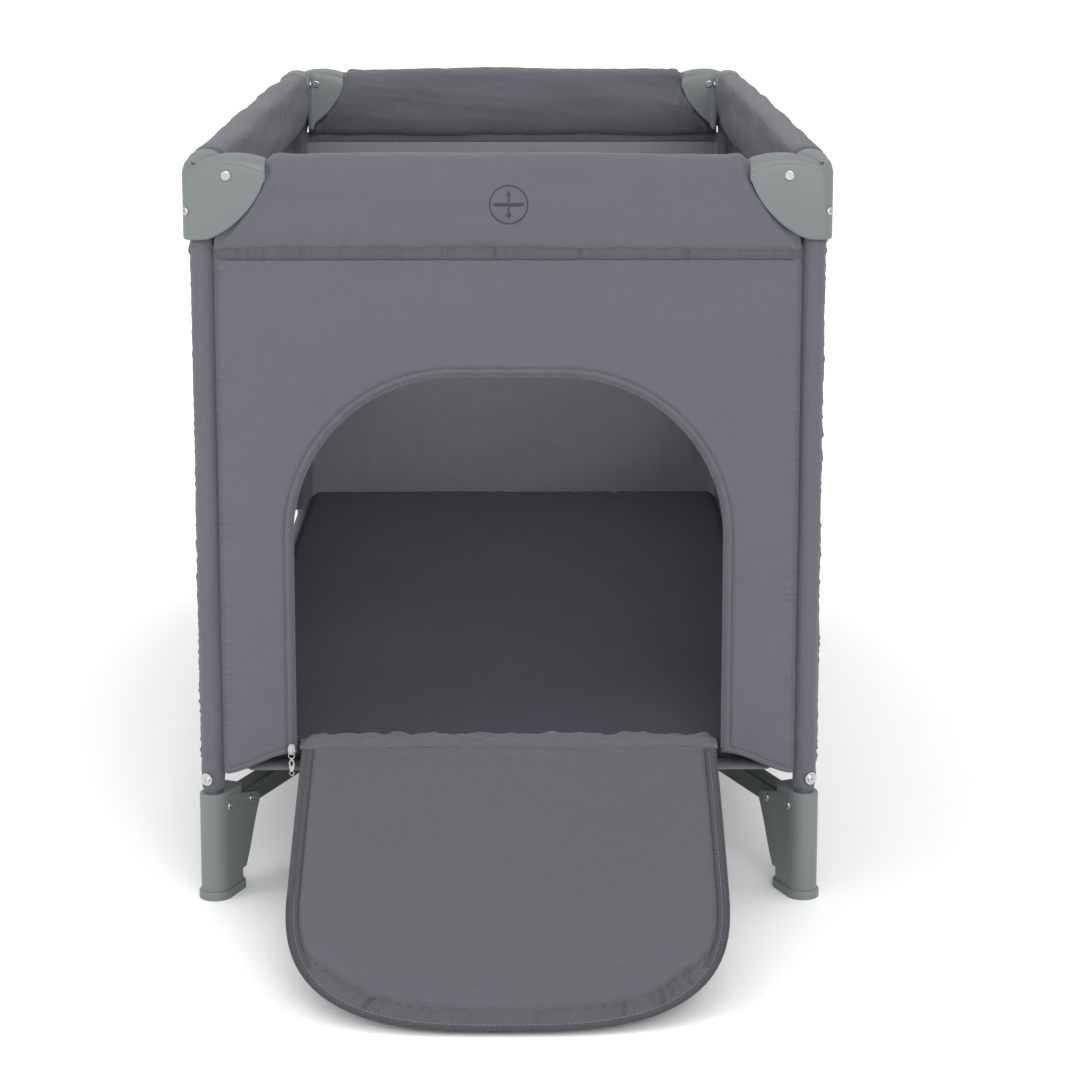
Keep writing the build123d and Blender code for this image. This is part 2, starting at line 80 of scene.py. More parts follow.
# wall: the half at the low end of its own axis, then the other, and the leg that carries the wall's cloth
HALVES = {
    "front": ("left", "right", "leg_front_left"),
    "right": ("front", "back", "leg_front_right"),
    "back": ("right", "left", "leg_back_left"),
    "left": ("back", "front", "leg_front_left"),
}
CORNERS = {"front_left": (-1, -1), "front_right": (1, -1), "back_left": (-1, 1), "back_right": (1, 1)}
FOLD = math.radians(next(j for j in frame["joints"] if j["name"] == "fold")["range_deg"][1])
REACH = .095
KEEP_X = (REACH + (POST_X - REACH) * math.cos(FOLD)) / POST_X
KEEP_Y = (REACH + (POST_Y - REACH) * math.cos(FOLD)) / POST_Y
SQUASH_X = ((1, 0, 0), (-POST_X, 0, 0), KEEP_X)
SQUASH_Y = ((0, 1, 0), (0, -POST_Y, 0), KEEP_Y)

DOOR_HALF, DOOR_TOP, DOOR_CORNER, DOOR_SILL = .219, .553, .165, .1585
CLOTH_EDGE = .0095  # from the line of a post to the side edge of a wall
SEAM_DOWN = .0145  # from the top edge of a wall to its seam
FLOOR_OVER = .006  # how far the floor runs past the line of the posts


def place(wall, across, out, up):
    """Points given along a wall, outwards from the line of its posts, and up, as an array of world points."""
    turn, _, away = WALLS[wall]
    cos, sin = round(math.cos(math.radians(turn))), round(math.sin(math.radians(turn)))
    depth = away + out
    return np.stack([cos * across + sin * depth, sin * across - cos * depth, up + 0 * across], -1)


def outward(wall):
    """One row: the direction out of a wall."""
    zero = np.zeros(1)
    return place(wall, zero, np.ones(1), zero) - place(wall, zero, zero, zero)


def smooth(t):
    t = np.clip(t, 0, 1)
    return t * t * (3 - 2 * t)


def ripples(seed, wide, high, count=14):
    """A smooth irregular field over two coordinates, about -1 to 1, with those typical wavelengths."""
    rng = np.random.default_rng(seed)
    turn = rng.uniform(0, math.tau, count)
    size = rng.uniform(.55, 1.7, count) * math.tau
    kx, kz = np.cos(turn) * size / wide, np.sin(turn) * size / high
    phase = rng.uniform(0, math.tau, count)

    def field(x, z):
        x, z = np.broadcast_arrays(x, z)
        waves = np.cos(x[..., None] * kx + z[..., None] * kz + phase)
        return waves.sum(-1) / math.sqrt(count)
    return field


def puckers(seed, pitch):
    """Gathers along a seam: an irregular line of ridges that come and go."""
    fine, slow = ripples(seed, pitch, pitch), ripples(seed + 1, pitch * 6, pitch * 6)

    def field(s):
        return fine(s, 0 * s) * (.65 + .5 * slow(s, 0 * s))
    return field


# ---------------------------------------------------------------- materials
class Nodes:
    """A small helper to build one material's node tree."""

    def __init__(self, name):
        self.mat = bpy.data.materials.new(name)
        self.mat.use_nodes = True
        self.tree = self.mat.node_tree
        self.shader = self.tree.nodes["Principled BSDF"]
        self.place = self.tree.nodes.new("ShaderNodeTexCoord").outputs["Object"]

    def add(self, kind, inputs=(), **settings):
        node = self.tree.nodes.new("ShaderNode" + kind)
        for key, value in settings.items():
            setattr(node, key, value)
        for key, value in dict(inputs).items():
            if isinstance(value, bpy.types.NodeSocket):
                self.tree.links.new(value, node.inputs[key])
            else:
                node.inputs[key].default_value = value
        return node

    def math(self, operation, first, second=0.0, third=0.0):
        return self.add("Math", {0: first, 1: second, 2: third}, operation=operation).outputs[0]

    def noise(self, scale, stretch=(1, 1, 1), detail=4.0, rough=.55):
        moved = self.add("Mapping", {"Vector": self.place, "Scale": stretch}).outputs[0]
        inputs = {"Vector": moved, "Scale": scale, "Detail": detail, "Roughness": rough}
        return self.add("TexNoise", inputs).outputs[0]

    def colour(self, amount, dark, light):
        mixed = self.add("Mix", {"Factor": amount, "A": (*dark, 1), "B": (*light, 1)}, data_type="RGBA")
        return mixed.outputs["Result"]

    def link(self, key, value):
        self.tree.links.new(value, self.shader.inputs[key])

    def bumps(self, *layers):
        """Bump layers as (height, depth in metres, strength)."""
        normal = None
        for height, depth, strength in layers:
            inputs = {"Height": height, "Distance": depth, "Strength": strength}
            if normal is not None:
                inputs["Normal"] = normal
            normal = self.add("Bump", inputs).outputs[0]
        self.link("Normal", normal)

    def set(self, **values):
        for key, value in values.items():
            self.shader.inputs[key.replace("_", " ")].default_value = value
        return self.mat


def tint(colour, by):
    return tuple(c * by for c in colour)


def fabric(name, colour, pitch=.0016, depth=.00016, slub=.09, sheen=.12, roughness=.74, gloss=.3):
    """Plain woven polyester: crossing threads, slubs along them and slightly uneven dye."""
    n = Nodes(name)
    axes = n.add("SeparateXYZ", {0: n.place}).outputs
    threads = [n.math("SINE", n.math("MULTIPLY", axis, math.tau / pitch)) for axis in axes]
    weave = n.math("ADD", n.math("ADD", threads[0], threads[1]), threads[2])
    across = n.noise(70, (1, 1, 14), 3)
    along = n.noise(60, (11, 11, 1), 2)
    cloud = n.noise(9, (1, 1, 1.4), 3)
    uneven = n.math("MULTIPLY_ADD", n.math("ADD", across, along), .35, n.math("MULTIPLY", cloud, .3))
    n.link("Base Color", n.colour(uneven, tint(colour, 1 - slub * 1.6), tint(colour, 1 + slub * 1.6)))
    n.link("Roughness", n.math("MULTIPLY_ADD", across, .16, roughness - .08))
    n.bumps((weave, depth, .55), (n.math("ADD", across, along), .0005, .25))
    return n.set(Sheen_Weight=sheen, Sheen_Roughness=.45, Specular_IOR_Level=gloss)


def moulded(name, colour, roughness=.46, grain=.00009):
    """Satin moulded plastic with a fine spark-eroded grain and handling marks."""
    n = Nodes(name)
    grains, marks = n.noise(1900, detail=2), n.noise(26, (1, 1, .5), 5, .62)
    worn = n.noise(7, detail=3)
    n.link("Base Color", n.colour(n.math("MULTIPLY_ADD", worn, .6, n.math("MULTIPLY", marks, .4)),
                                  tint(colour, .9), tint(colour, 1.1)))
    n.link("Roughness", n.math("MULTIPLY_ADD", marks, .2, roughness - .1))
    n.bumps((grains, grain, .5), (marks, .00025, .12))
    return n.set(Specular_IOR_Level=.45)


def painted(name, colour):
    """Powder coat: slight orange peel, rubbed lighter here and there."""
    n = Nodes(name)
    peel, rubbed = n.noise(700, detail=2), n.noise(18, (1, 1, 1), 6, .7)
    n.link("Base Color", n.colour(rubbed, tint(colour, .8), tint(colour, 1.35)))
    n.link("Roughness", n.math("MULTIPLY_ADD", rubbed, .3, .3))
    n.bumps((peel, .00012, .4))
    return n.set(Metallic=.15, Coat_Weight=.2, Coat_Roughness=.3)


def metal(name, colour, roughness):
    """Plated steel with fine drawing lines and duller patches."""
    n = Nodes(name)
    lines, dull = n.noise(900, (1, 1, .06), 3), n.noise(160, detail=4)
    n.link("Base Color", n.colour(dull, tint(colour, .82), tint(colour, 1.08)))
    n.link("Roughness", n.math("MULTIPLY_ADD", dull, .22, roughness))
    n.bumps((lines, .00006, .35))
    return n.set(Metallic=1.0)


SHELL = (.104, .104, .123)
M = {
    "shell": fabric("shell_cloth", SHELL),
    "flap": fabric("flap_cloth", tint(SHELL, .86)),
    # lining cloth of the inner faces, made lighter as painted light where light falls on the back wall's inside
    "lit_lining": fabric("lit_lining_cloth", (.180, .184, .196), sheen=.08),
    # cloth of the seam bands, also put on the side walls' inner faces as painted shade
    "seam_and_shade": fabric("seam_and_shade_cloth", tint(SHELL, .8), pitch=.0013, slub=.14),
    "tape": fabric("zip_tape", (.062, .062, .075), pitch=.0011, depth=.00022, sheen=.12),
    "teeth": moulded("zip_teeth_nylon", (.11, .11, .13), .38, .00003),
    "thread": fabric("sewing_thread", (.085, .085, .1), pitch=.0007, depth=.0001, slub=.16),
    "pale_thread": fabric("pale_thread", (.2, .2, .225), pitch=.0007, depth=.0001, slub=.16),
    "pad": fabric("mattress_cloth", (.056, .056, .071), pitch=.0018, sheen=.015, roughness=.9, gloss=.08),
    "net": fabric("netting", (.05, .052, .056), pitch=.0008, depth=.0001, slub=.1, sheen=.2),
    "print": fabric("printed_mark", (.042, .045, .054), slub=.12, sheen=.04),
    "cap": moulded("grey_green_plastic", (.150, .167, .166)),
    "dark": moulded("black_plastic", (.02, .02, .022), .5),
    "paint": painted("frame_paint_coat", (.062, .08, .077)),
    "steel": metal("zinc_plate", (.56, .56, .57), .16),
    "nickel": metal("nickel_plate", (.5, .5, .5), .14),
    "web": fabric("strap_webbing", (.018, .018, .02), pitch=.0024, depth=.0004, slub=.2, sheen=.15),
}


def mesh_piece(name, points, faces, body, slot, mats, which=None, squash=None, replaces=(), sharp=50):
    """One named mesh, riding on a body; a squash, given as (axis, anchor, keep), only gives the mesh its own copy
    of its data.
    """
    mesh = bpy.data.meshes.new(name)
    mesh.from_pydata(np.asarray(points, float).tolist(), [], [list(f) for f in faces])
    mesh.shade_smooth()
    for key in mats:
        mesh.materials.append(M[key])
    if which is not None:
        mesh.polygons.foreach_set("material_index", np.asarray(which, np.int32))
    mesh.set_sharp_from_angle(angle=math.radians(sharp))
    obj = bpy.data.objects.new(name, mesh)
    bpy.context.scene.collection.objects.link(obj)
    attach(obj, body)
    if squash:
        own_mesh(obj)
    if replaces:
        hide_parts(*replaces)
    return obj


def loft(rings, closed=True, ends=True):
    """Points and faces of a skin through rings with as many points each."""
    rings = np.asarray(rings, float)
    rows, count = rings.shape[:2]
    faces = []
    for i in range(rows - 1):
        for k in range(count if closed else count - 1):
            a, b = i * count + k, i * count + (k + 1) % count
            faces.append((a, b, b + count, a + count))
    if ends and closed:
        faces.append(tuple(range(count))[::-1])
        faces.append(tuple((rows - 1) * count + k for k in range(count)))
    return rings.reshape(-1, 3), faces


def flipped(faces):
    return [tuple(f)[::-1] for f in faces]


def gather(parts):
    """Joins (points, faces) parts into one pair."""
    points, faces, start = [], [], 0
    for p, f in parts:
        points.append(np.asarray(p, float))
        faces += [tuple(start + i for i in face) for face in f]
        start += len(p)
    return np.concatenate(points), faces


# ---------------------------------------------------------------- flat cloth patches
def subdivide(points, step):
    out = []
    for a, b in zip(points[:-1], points[1:]):
        n = max(1, round(math.dist(a, b) / step))
        out += [(a[0] + (b[0] - a[0]) * i / n, a[1] + (b[1] - a[1]) * i / n) for i in range(n)]
    return out


def arc(centre, radius, start, end, step=.0022):
    n = max(6, round(abs(end - start) * radius / step))
    return [(centre[0] + radius * math.cos(start + (end - start) * i / n),
             centre[1] + radius * math.sin(start + (end - start) * i / n)) for i in range(n + 1)]


class Patch:
    """A flat cut of cloth. Each loop is a list of (tag, points) runs that close on each other, the cloth on their
    left. rows gives, for each tag, how far in from the edge the extra lines of points run."""

    def __init__(self, loops, rows, near=.0022, far=.007, band=.016):
        self.trees, ring_points, ring_edges, samples, normals, inner = {}, [], [], [], [], []
        for runs in loops:
            first, start = len(ring_points), {}
            for (tag, points), (_, following) in zip(runs, runs[1:] + runs[:1]):
                line = subdivide(list(points) + [following[0]], near)
                start[tag] = start.get(tag, 0.0)
                closed = np.array(line + [following[0]])
                step = np.diff(closed, axis=0)
                size = np.linalg.norm(step, axis=1)
                keep = size > 1e-7
                left = np.stack([-step[:, 1], step[:, 0]], -1)[keep] / size[keep, None]
                line, size = closed[:-1][keep], size[keep]
                mean = left + np.roll(left, 1, 0)
                mean[0] = left[0]
                mean /= np.linalg.norm(mean, axis=1)[:, None]
                s = start[tag] + np.concatenate([[0], np.cumsum(size)[:-1]])
                start[tag] = s[-1] + size[-1] + 1.0
                found = self.trees.setdefault(tag, [[], []])
                fine = np.concatenate([line + np.diff(np.append(line, [following[0]], 0), axis=0) * f
                                       for f in (0, .25, .5, .75)])
                found[0].append(fine)
                found[1].append(np.concatenate([s + size * f for f in (0, .25, .5, .75)]))
                samples.append(fine)
                normals.append(np.concatenate([mean, left, left, left]))
                for offset in rows.get(tag, ()):
                    inner.append((line + mean * offset, offset))
                ring_points += [tuple(p) for p in line]
            n = len(ring_points) - first
            ring_edges += [(first + i, first + (i + 1) % n) for i in range(n)]
        for tag, (points, s) in self.trees.items():
            self.trees[tag] = (self._tree(np.concatenate(points)), np.concatenate(s))
        self.samples, self.normals = np.concatenate(samples), np.concatenate(normals)
        self.tree = self._tree(self.samples)
        chosen = []
        for points, offset in inner:
            d, side = self.sided(points)
            chosen.append(points[(d > offset * .9) & side])
        low, high = self.samples.min(0), self.samples.max(0)
        for step, is_near in ((near * 1.15, True), (far, False)):
            x = np.arange(low[0] + step / 2, high[0], step)
            z = np.arange(low[1] + step / 2, high[1], step * .87)
            gx, gz = np.meshgrid(x, z)
            gx = gx + (np.arange(len(z)) % 2)[:, None] * step / 2
            grid = np.stack([gx.ravel(), gz.ravel()], -1)
            d, side = self.sided(grid)
            deepest = np.zeros(len(grid))
            for tag, offsets in rows.items():
                if tag in self.trees and is_near:
                    away = self.distance(tag, grid)[0]
                    deepest = np.maximum(deepest, np.where(away < max(offsets) + .0009, 1, 0))
            keep = side & (d < band if is_near else d >= band) & (deepest < .5) & (d > near * .6)
            chosen.append(grid[keep])
        points = np.concatenate([np.array(ring_points)] + chosen)
        got = delaunay_2d_cdt([Vector(p) for p in points], ring_edges, [], 0, 1e-7, False)
        self.points = np.array([tuple(p) for p in got[0]])
        tris = np.array([f for f in got[2] if len(f) == 3])
        d, _ = self.sided(self.points)
        self.rim = d < 1e-6
        a, b, c = (self.points[tris[:, i]] for i in range(3))
        area = (b[:, 0] - a[:, 0]) * (c[:, 1] - a[:, 1]) - (b[:, 1] - a[:, 1]) * (c[:, 0] - a[:, 0])
        doubtful = self.rim[tris].all(1)
        keep = np.abs(area) > 1e-11
        middle = (a + b + c)[doubtful] / 3
        rim_points = np.array(ring_points)
        keep[np.flatnonzero(doubtful)] &= self._inside(middle, [rim_points[[e[end] for e in ring_edges]]
                                                                for end in (0, 1)])
        self.tris = np.where((area > 0)[:, None], tris, tris[:, ::-1])[keep]
        self.area = float(np.abs(area[keep]).sum() / 2)

    @staticmethod
    def _tree(points):
        tree = kdtree.KDTree(len(points))
        for i, p in enumerate(points):
            tree.insert((p[0], p[1], 0), i)
        tree.balance()
        return tree

    @staticmethod
    def _inside(points, edges):
        (x1, z1), (x2, z2) = edges[0].T, edges[1].T
        x, z = points[:, :1], points[:, 1:]
        spans = (z1 > z) != (z2 > z)
        with np.errstate(divide="ignore", invalid="ignore"):
            cross = x < (x2 - x1) * (z - z1) / (z2 - z1) + x1
        return (spans & cross).sum(1) % 2 == 1

    def sided(self, points):
        """Distance from the nearest edge, and whether the point is on the cloth's side of it."""
        hits = [self.tree.find((p[0], p[1], 0)) for p in points]
        index = np.array([h[1] for h in hits])
        off = points - self.samples[index]
        return np.array([h[2] for h in hits]), (off * self.normals[index]).sum(1) > -1e-6

    def distance(self, tag, points):
        """Distance from the edges with that tag, and how far along them the nearest point is."""
        tree, s = self.trees[tag]
        hits = [tree.find((p[0], p[1], 0)) for p in points]
        return np.array([h[2] for h in hits]), s[[h[1] for h in hits]]

    def shell(self, front, back):
        """Closed skin: front and back take 2-D points and give 3-D points that agree along the rim."""
        a = front(self.points)
        b = back(self.points)
        number = np.where(self.rim, np.arange(len(a)), len(a) + np.cumsum(~self.rim) - 1)
        faces = [tuple(t) for t in self.tris] + [tuple(number[t][::-1]) for t in self.tris]
        return np.concatenate([a, b[~self.rim]]), faces


def stitches(line, up, length=.0032, gap=.0014, wide=.00075, high=.00035):
    """Sewn stitches as small rounded bars along a 3-D line; up is the outward direction at each point."""
    line, up = np.asarray(line, float), np.asarray(up, float)
    s = np.concatenate([[0], np.cumsum(np.linalg.norm(np.diff(line, axis=0), axis=1))])
    parts, at = [], 0.0
    while at + length < s[-1]:
        spot = [np.array([np.interp(t, s, line[:, k]) for k in range(3)]) for t in (at, at + length)]
        normal = np.array([np.interp(at + length / 2, s, up[:, k]) for k in range(3)])
        way = spot[1] - spot[0]
        reach = np.linalg.norm(way)
        if reach > length * .5:
            way /= reach
            side = np.cross(normal, way)
            rings = []
            for t, size in ((0, .35), (.2, 1), (.8, 1), (1, .35)):
                base = spot[0] + way * reach * t
                rings.append([base + side * wide / 2 * size * c + normal * high * (size * h - .2)
                              for c, h in ((-1, 0), (-.6, .8), (.6, .8), (1, 0))])
            parts.append(loft(rings))
        at += length + gap
    return gather(parts)


# ---------------------------------------------------------------- walls
ROUND = .0035
THICK = .0062
MIDDLE = PANEL_OUT - .0042


def hem_line(edge, low, rise):
    """Bottom edge from the post towards the middle: low at the post, rising to a level run."""
    return [(-edge + t * .075, low + rise * float(smooth(t))) for t in np.linspace(0, 1, 34)]


def wall_loops(wall):
    reach = WALLS[wall][1]
    edge = reach - CLOTH_EDGE
    rise = DOOR_SILL - HEM_Z if wall == "front" else .014
    left = hem_line(edge, HEM_Z, rise)
    right = [(-x, z) for x, z in left[::-1]]
    top = [("side", [(edge, HEM_Z)]), ("top", [(edge, SEAM_Z)]), ("side", [(-edge, SEAM_Z)])]
    if wall == "front":
        high = DOOR_TOP - DOOR_CORNER
        crown = DOOR_HALF - DOOR_CORNER
        door = [(-DOOR_HALF, DOOR_SILL), (-DOOR_HALF, high)]
        door += arc((-crown, high), DOOR_CORNER, math.pi, math.pi / 2)[1:]
        door += arc((crown, high), DOOR_CORNER, math.pi / 2, 0)
        door += [(DOOR_HALF, DOOR_SILL)]
        return [[("hem", left[:-1]), ("door", door), ("hem", right[1:-1])] + top]
    loops = [[("hem", left[:-1] + right[:-1])] + top]
    if wall in ("left", "right"):
        half, low, up, r = reach - .095, .36, SEAM_Z - .034, .045
        window = arc((-half + r, low + r), r, -math.pi / 2, -math.pi)
        window += arc((-half + r, up - r), r, math.pi, math.pi / 2)
        window += arc((half - r, up - r), r, math.pi / 2, 0)
        window += arc((half - r, low + r), r, 0, -math.pi / 2)
        loops.append([("window", window)])
    return loops


WALL_ROWS = {
    "side": (.0009, .002, .0036, .0052, .0061, .007, .0085),
    "top": (.0008, .002, .0045, .0075, .0105, .0134, .0145, .0156, .0175),
    "hem": (.0008, .0018, .0036, .0056, .0064, .0072, .009),
    "door": (.0006, .0013, .0021, .0027, .0034, .0056, .0078, .0087, .0094, .0101, .0116),
    "window": (.0007, .0016, .004, .0075, .0092, .01, .0108, .0125),
}
SEAMS = {"side": (.0061, .0011), "top": (SEAM_DOWN, .0018), "hem": (.0064, .001), "window": (.01, .0012)}


def groove(d, at, depth, width=.0008):
    return -depth * np.exp(-((d - at) / width) ** 2)


def wall_surface(wall, patch, seed):
    broad, fine = ripples(seed, .26, .2), ripples(seed + 1, .055, .03)
    drape = ripples(seed + 2, .05, .5)
    gathers = {tag: puckers(seed + 10 + i, pitch) for i, (tag, pitch) in enumerate(
        (("side", .0085), ("top", .0095), ("hem", .016), ("door", .02), ("window", .012)))}

    def height(points):
        """Mid-plane shift, outer rise and half thickness at flat points."""
        d = {tag: patch.distance(tag, points) for tag in patch.trees}
        every = np.min([v[0] for v in d.values()], 0)
        half = THICK / 2 * np.sqrt(np.clip(1 - (1 - np.clip(every / ROUND, 0, 1)) ** 2, 0, 1))
        x, z = points[:, 0], points[:, 1]
        inside = smooth(every / .05)
        shift = .0011 * broad(x, z) * inside + .0004 * drape(x, z) * smooth(every / .02)
        shift = shift - .0085 * (1 - smooth(d["side"][0] / .0075))
        rise = .0026 * (1 - np.exp(-every / .028)) + .00026 * fine(x, z) * smooth(every / .006)
        for tag, (away, s) in d.items():
            ridge = gathers[tag](s)
            if tag == "top":
                rise = rise + .0012 * ridge * smooth(away / .003) * smooth((.0165 - away) / .004)
                rise = rise + .0012 * np.exp(-((away - .0095) / .0035) ** 2)
                rise = rise + .0012 * ridge * np.exp(-away / .022) * smooth((away - .0145) / .003)
            if tag == "side":
                rise = rise + .0013 * ridge * np.exp(-(away - .004) / .009) * smooth(away / .005)
            if tag == "hem":
                rise = rise + .0005 * ridge * np.exp(-away / .012) * smooth(away / .002)
            if tag == "door":
                rise = rise - .0012 * (1 - smooth((away - .0085) / .004)) + groove(away, .0094, .0011)
                rise = rise + groove(away, .0027, .0009, .0006) - .0006 * (1 - smooth((away - .0022) / .0008))
                rise = rise + .00035 * ridge * np.exp(-away / .012)
            if tag == "window":
                rise = rise + .0006 * ridge * np.exp(-(away - .008) / .008) * smooth(away / .004)
            if tag in SEAMS:
                rise = rise + groove(away, *SEAMS[tag])
        rise = rise * smooth(every / .0012)
        return MIDDLE + shift, rise, half, d

    def outer(points):
        middle, rise, half, _ = height(points)
        return place(wall, points[:, 0], middle + half + rise, points[:, 1])

    def inner(points):
        middle, rise, half, _ = height(points)
        return place(wall, points[:, 0], middle - half - .55 * rise, points[:, 1])
    return outer, inner


def offset_line(points, distance):
    """A line beside a 2-D polyline, on its left."""
    p = np.array(points)
    step = np.gradient(p, axis=0)
    step /= np.maximum(np.linalg.norm(step, axis=1), 1e-9)[:, None]
    return p + np.stack([-step[:, 1], step[:, 0]], -1) * distance


def sew(name, runs, outer, wall, body, squash, mat="thread", **sizes):
    """Stitch rows on a wall, along flat lines, as one piece."""
    parts = []
    out = outward(wall)
    for line in runs:
        fine = np.array(subdivide([tuple(p) for p in line], .002))
        world = outer(fine)
        parts.append(stitches(world, np.repeat(out, len(world), 0), **sizes))
    points, faces = gather(parts)
    return mesh_piece(name, points, faces, body, "shell_fabric", [mat], squash=squash)


def build_wall(wall, seed):
    body = HALVES[wall][2]
    squash = SQUASH_X if wall in ("front", "back") else SQUASH_Y
    loops = wall_loops(wall)
    patch = Patch(loops, WALL_ROWS)
    outer, inner = wall_surface(wall, patch, seed)
    points, faces = patch.shell(outer, inner)
    # tape beside the zip and the seam band are their own cloth
    middle = patch.points[patch.tris].mean(1)
    kind = np.zeros(len(middle), int)
    top = patch.distance("top", middle)[0]
    kind[top < SEAM_DOWN] = 1
    if wall == "front":
        kind[patch.distance("door", middle)[0] < .0024] = 2
    which = np.concatenate([kind, np.where(kind == 0, 3, kind)])
    # inner faces: front and back take the lighter lining cloth as painted light, the side walls take the darker
    # seam cloth as painted shade
    obj = mesh_piece(f"{wall}_wall", points, faces, body, "shell_fabric",
                     ["shell", "seam_and_shade", "tape", "lit_lining" if wall in ("front", "back") else "seam_and_shade"],
                     which, squash, [f"panel_{wall}"])
    reach = WALLS[wall][1]
    edge = reach - CLOTH_EDGE
    tall = np.linspace(HEM_Z + .012, SEAM_Z - .016, 60)
    runs = [[(s * (edge - .0061), z) for z in tall] for s in (-1, 1)]
    runs.append([(x, SEAM_Z - SEAM_DOWN) for x in np.linspace(-edge + .01, edge - .01, 200)])
    if wall == "front":
        door = np.array(subdivide(loops[0][1][1], .003))
        runs.append(offset_line(door, .0094)[3:-3])
        runs.append(offset_line(door, .0047)[3:-3])
    if wall in ("left", "right"):
        runs.append(offset_line(loops[1][0][1], .01))
    sew(f"{wall}_wall_stitches", runs, outer, wall, body, squash)
    if wall == "front":
        zip_teeth("door_zip_teeth", offset_line(door, .0011), outer, wall, body, squash)
    if wall in ("left", "right"):
        netting(wall, loops[1][0][1], body, squash)


def zip_teeth(name, line, outer, wall, body, squash, pitch=.0021):
    """Coil teeth: one small rounded bar every pitch, lying across the tape's edge."""
    world = outer(np.array(line))
    return teeth_on(name, world, np.repeat(outward(wall), len(world), 0), body, squash, pitch)


def teeth_on(name, world, out, body, squash, pitch=.0021, mat="teeth"):
    s = np.concatenate([[0], np.cumsum(np.linalg.norm(np.diff(world, axis=0), axis=1))])
    parts = []
    for at in np.arange(pitch, s[-1] - pitch, pitch):
        spot = np.array([np.interp(at, s, world[:, k]) for k in range(3)])
        ahead = np.array([np.interp(at + .0008, s, world[:, k]) for k in range(3)])
        up = np.array([np.interp(at, s, out[:, k]) for k in range(3)])
        way = (ahead - spot) / np.linalg.norm(ahead - spot)
        side = np.cross(up, way)
        rings = []
        for t, w, h in ((-.0017, .0003, .2), (-.0013, .0006, .8), (.0011, .0006, .8), (.0016, .0003, .2)):
            base = spot + side * t
            rings.append([base + way * w * a + up * (.00105 * h * b - .0002)
                          for a, b in ((-1, -.3), (-1, .6), (-.5, 1), (.5, 1), (1, .6), (1, -.3))])
        parts.append(loft(rings))
    points, faces = gather(parts)
    return mesh_piece(name, points, faces, body, "zip_metal", [mat], squash=squash)


def netting(wall, window, body, squash, pitch=.0045, wide=.0009):
    """Knitted net in a window: two sets of flat threads at 60 degrees, clipped to the opening."""
    w = np.array(window)
    low, high = w.min(0) - .006, w.max(0) + .006
    edges = [np.array(window), np.roll(np.array(window), -1, 0)]
    grown = [(e - w.mean(0)) * (1 + .011 / (high - low) * 2) + w.mean(0) for e in edges]
    parts = []
    centre, size = (low + high) / 2, np.linalg.norm(high - low) / 2
    bulge = ripples(91, .5, .3)
    for turn, level in ((60, .0), (-60, .0003)):
        way = np.array([math.cos(math.radians(turn)), math.sin(math.radians(turn))])
        side = np.array([-way[1], way[0]])
        for shift in np.arange(-size, size, pitch):
            t = np.arange(-size, size, .004)
            line = centre + side * shift + way * t[:, None]
            ok = np.flatnonzero(Patch._inside(line, grown))
            if len(ok) < 3:
                continue
            line = line[ok[0]:ok[-1] + 1:4] if len(ok) > 16 else line[ok]
            line = np.concatenate([line, centre[None] + side * shift + way * t[ok[-1]]])
            depth = MIDDLE + level + .002 * bulge(line[:, 0], line[:, 1])
            rings = []
            for p, d in zip(line, depth):
                flat = np.array([p + side * wide * a for a in (-.5, 0, .5, 0)])
                thick = d + np.array([0, .0003, 0, -.0003])
                rings.append(place(wall, flat[:, 0], thick, flat[:, 1]))
            parts.append(loft(rings))
    points, faces = gather(parts)
    return mesh_piece(f"{wall}_net", points, faces, body, "shell_fabric", ["net"], squash=squash)


# ---------------------------------------------------------------- rail covers
def section(points, count):
    """Closed smooth section through control points, evenly spaced, with outward normals."""
    p = np.array(points) * .001
    n = len(p)
    dense = []
    for i in range(n):
        a, b, c, d = p[i - 1], p[i], p[(i + 1) % n], p[(i + 2) % n]
        for t in np.linspace(0, 1, 14, endpoint=False):
            dense.append(.5 * (2 * b + (c - a) * t + (2 * a - 5 * b + 4 * c - d) * t ** 2
                               + (3 * b - a - 3 * c + d) * t ** 3))
    dense = np.array(dense + [dense[0]])
    s = np.concatenate([[0], np.cumsum(np.linalg.norm(np.diff(dense, axis=0), axis=1))])
    at = np.linspace(0, s[-1], count, endpoint=False)
    out = np.stack([np.interp(at, s, dense[:, k]) for k in range(2)], -1)
    step = np.roll(out, -1, 0) - np.roll(out, 1, 0)
    step /= np.linalg.norm(step, axis=1)[:, None]
    return out, np.stack([step[:, 1], -step[:, 0]], -1)


# outwards from the post line, and down from the top of the rail cover, in millimetres
RAIL_SECTION = [(13.6, 93), (16.2, 88), (17.6, 75), (18.1, 50), (18.0, 27), (17.0, 12), (13.2, 3.6), (0, 0),
                (-13.2, 3.6), (-17.0, 12), (-18.0, 27), (-17.6, 47), (-12.5, 69), (-3.5, 86), (5, 92.5), (9.5, 94)]


def fold_reach(up):
    """How far from the post's line the cover is folded in under the cap's arm, at a height."""
    v = np.clip((RAIL_TOP - .017 - up) / .0765, 0, 1)
    return .013 + .0595 * (1 - v ** 1.2) ** (1 / 1.2)


def cover_relief(wall):
    """The unevenness of one wall's rail cover, over the distance along the wall, out and height."""
    seed = 100 + 20 * list(WALLS).index(wall)
    soft, fine = ripples(seed + 3, .19, .06), ripples(seed + 4, .03, .05)
    drag = ripples(seed + 5, .05, .02)

    def relief(along, out, up):
        return (.0011 * soft(along, up + out) + .00022 * fine(along, up * .7 + out)
                + .0003 * drag(along, up + out))
    return relief, puckers(seed, .0095), ripples(seed + 6, .012, .09)


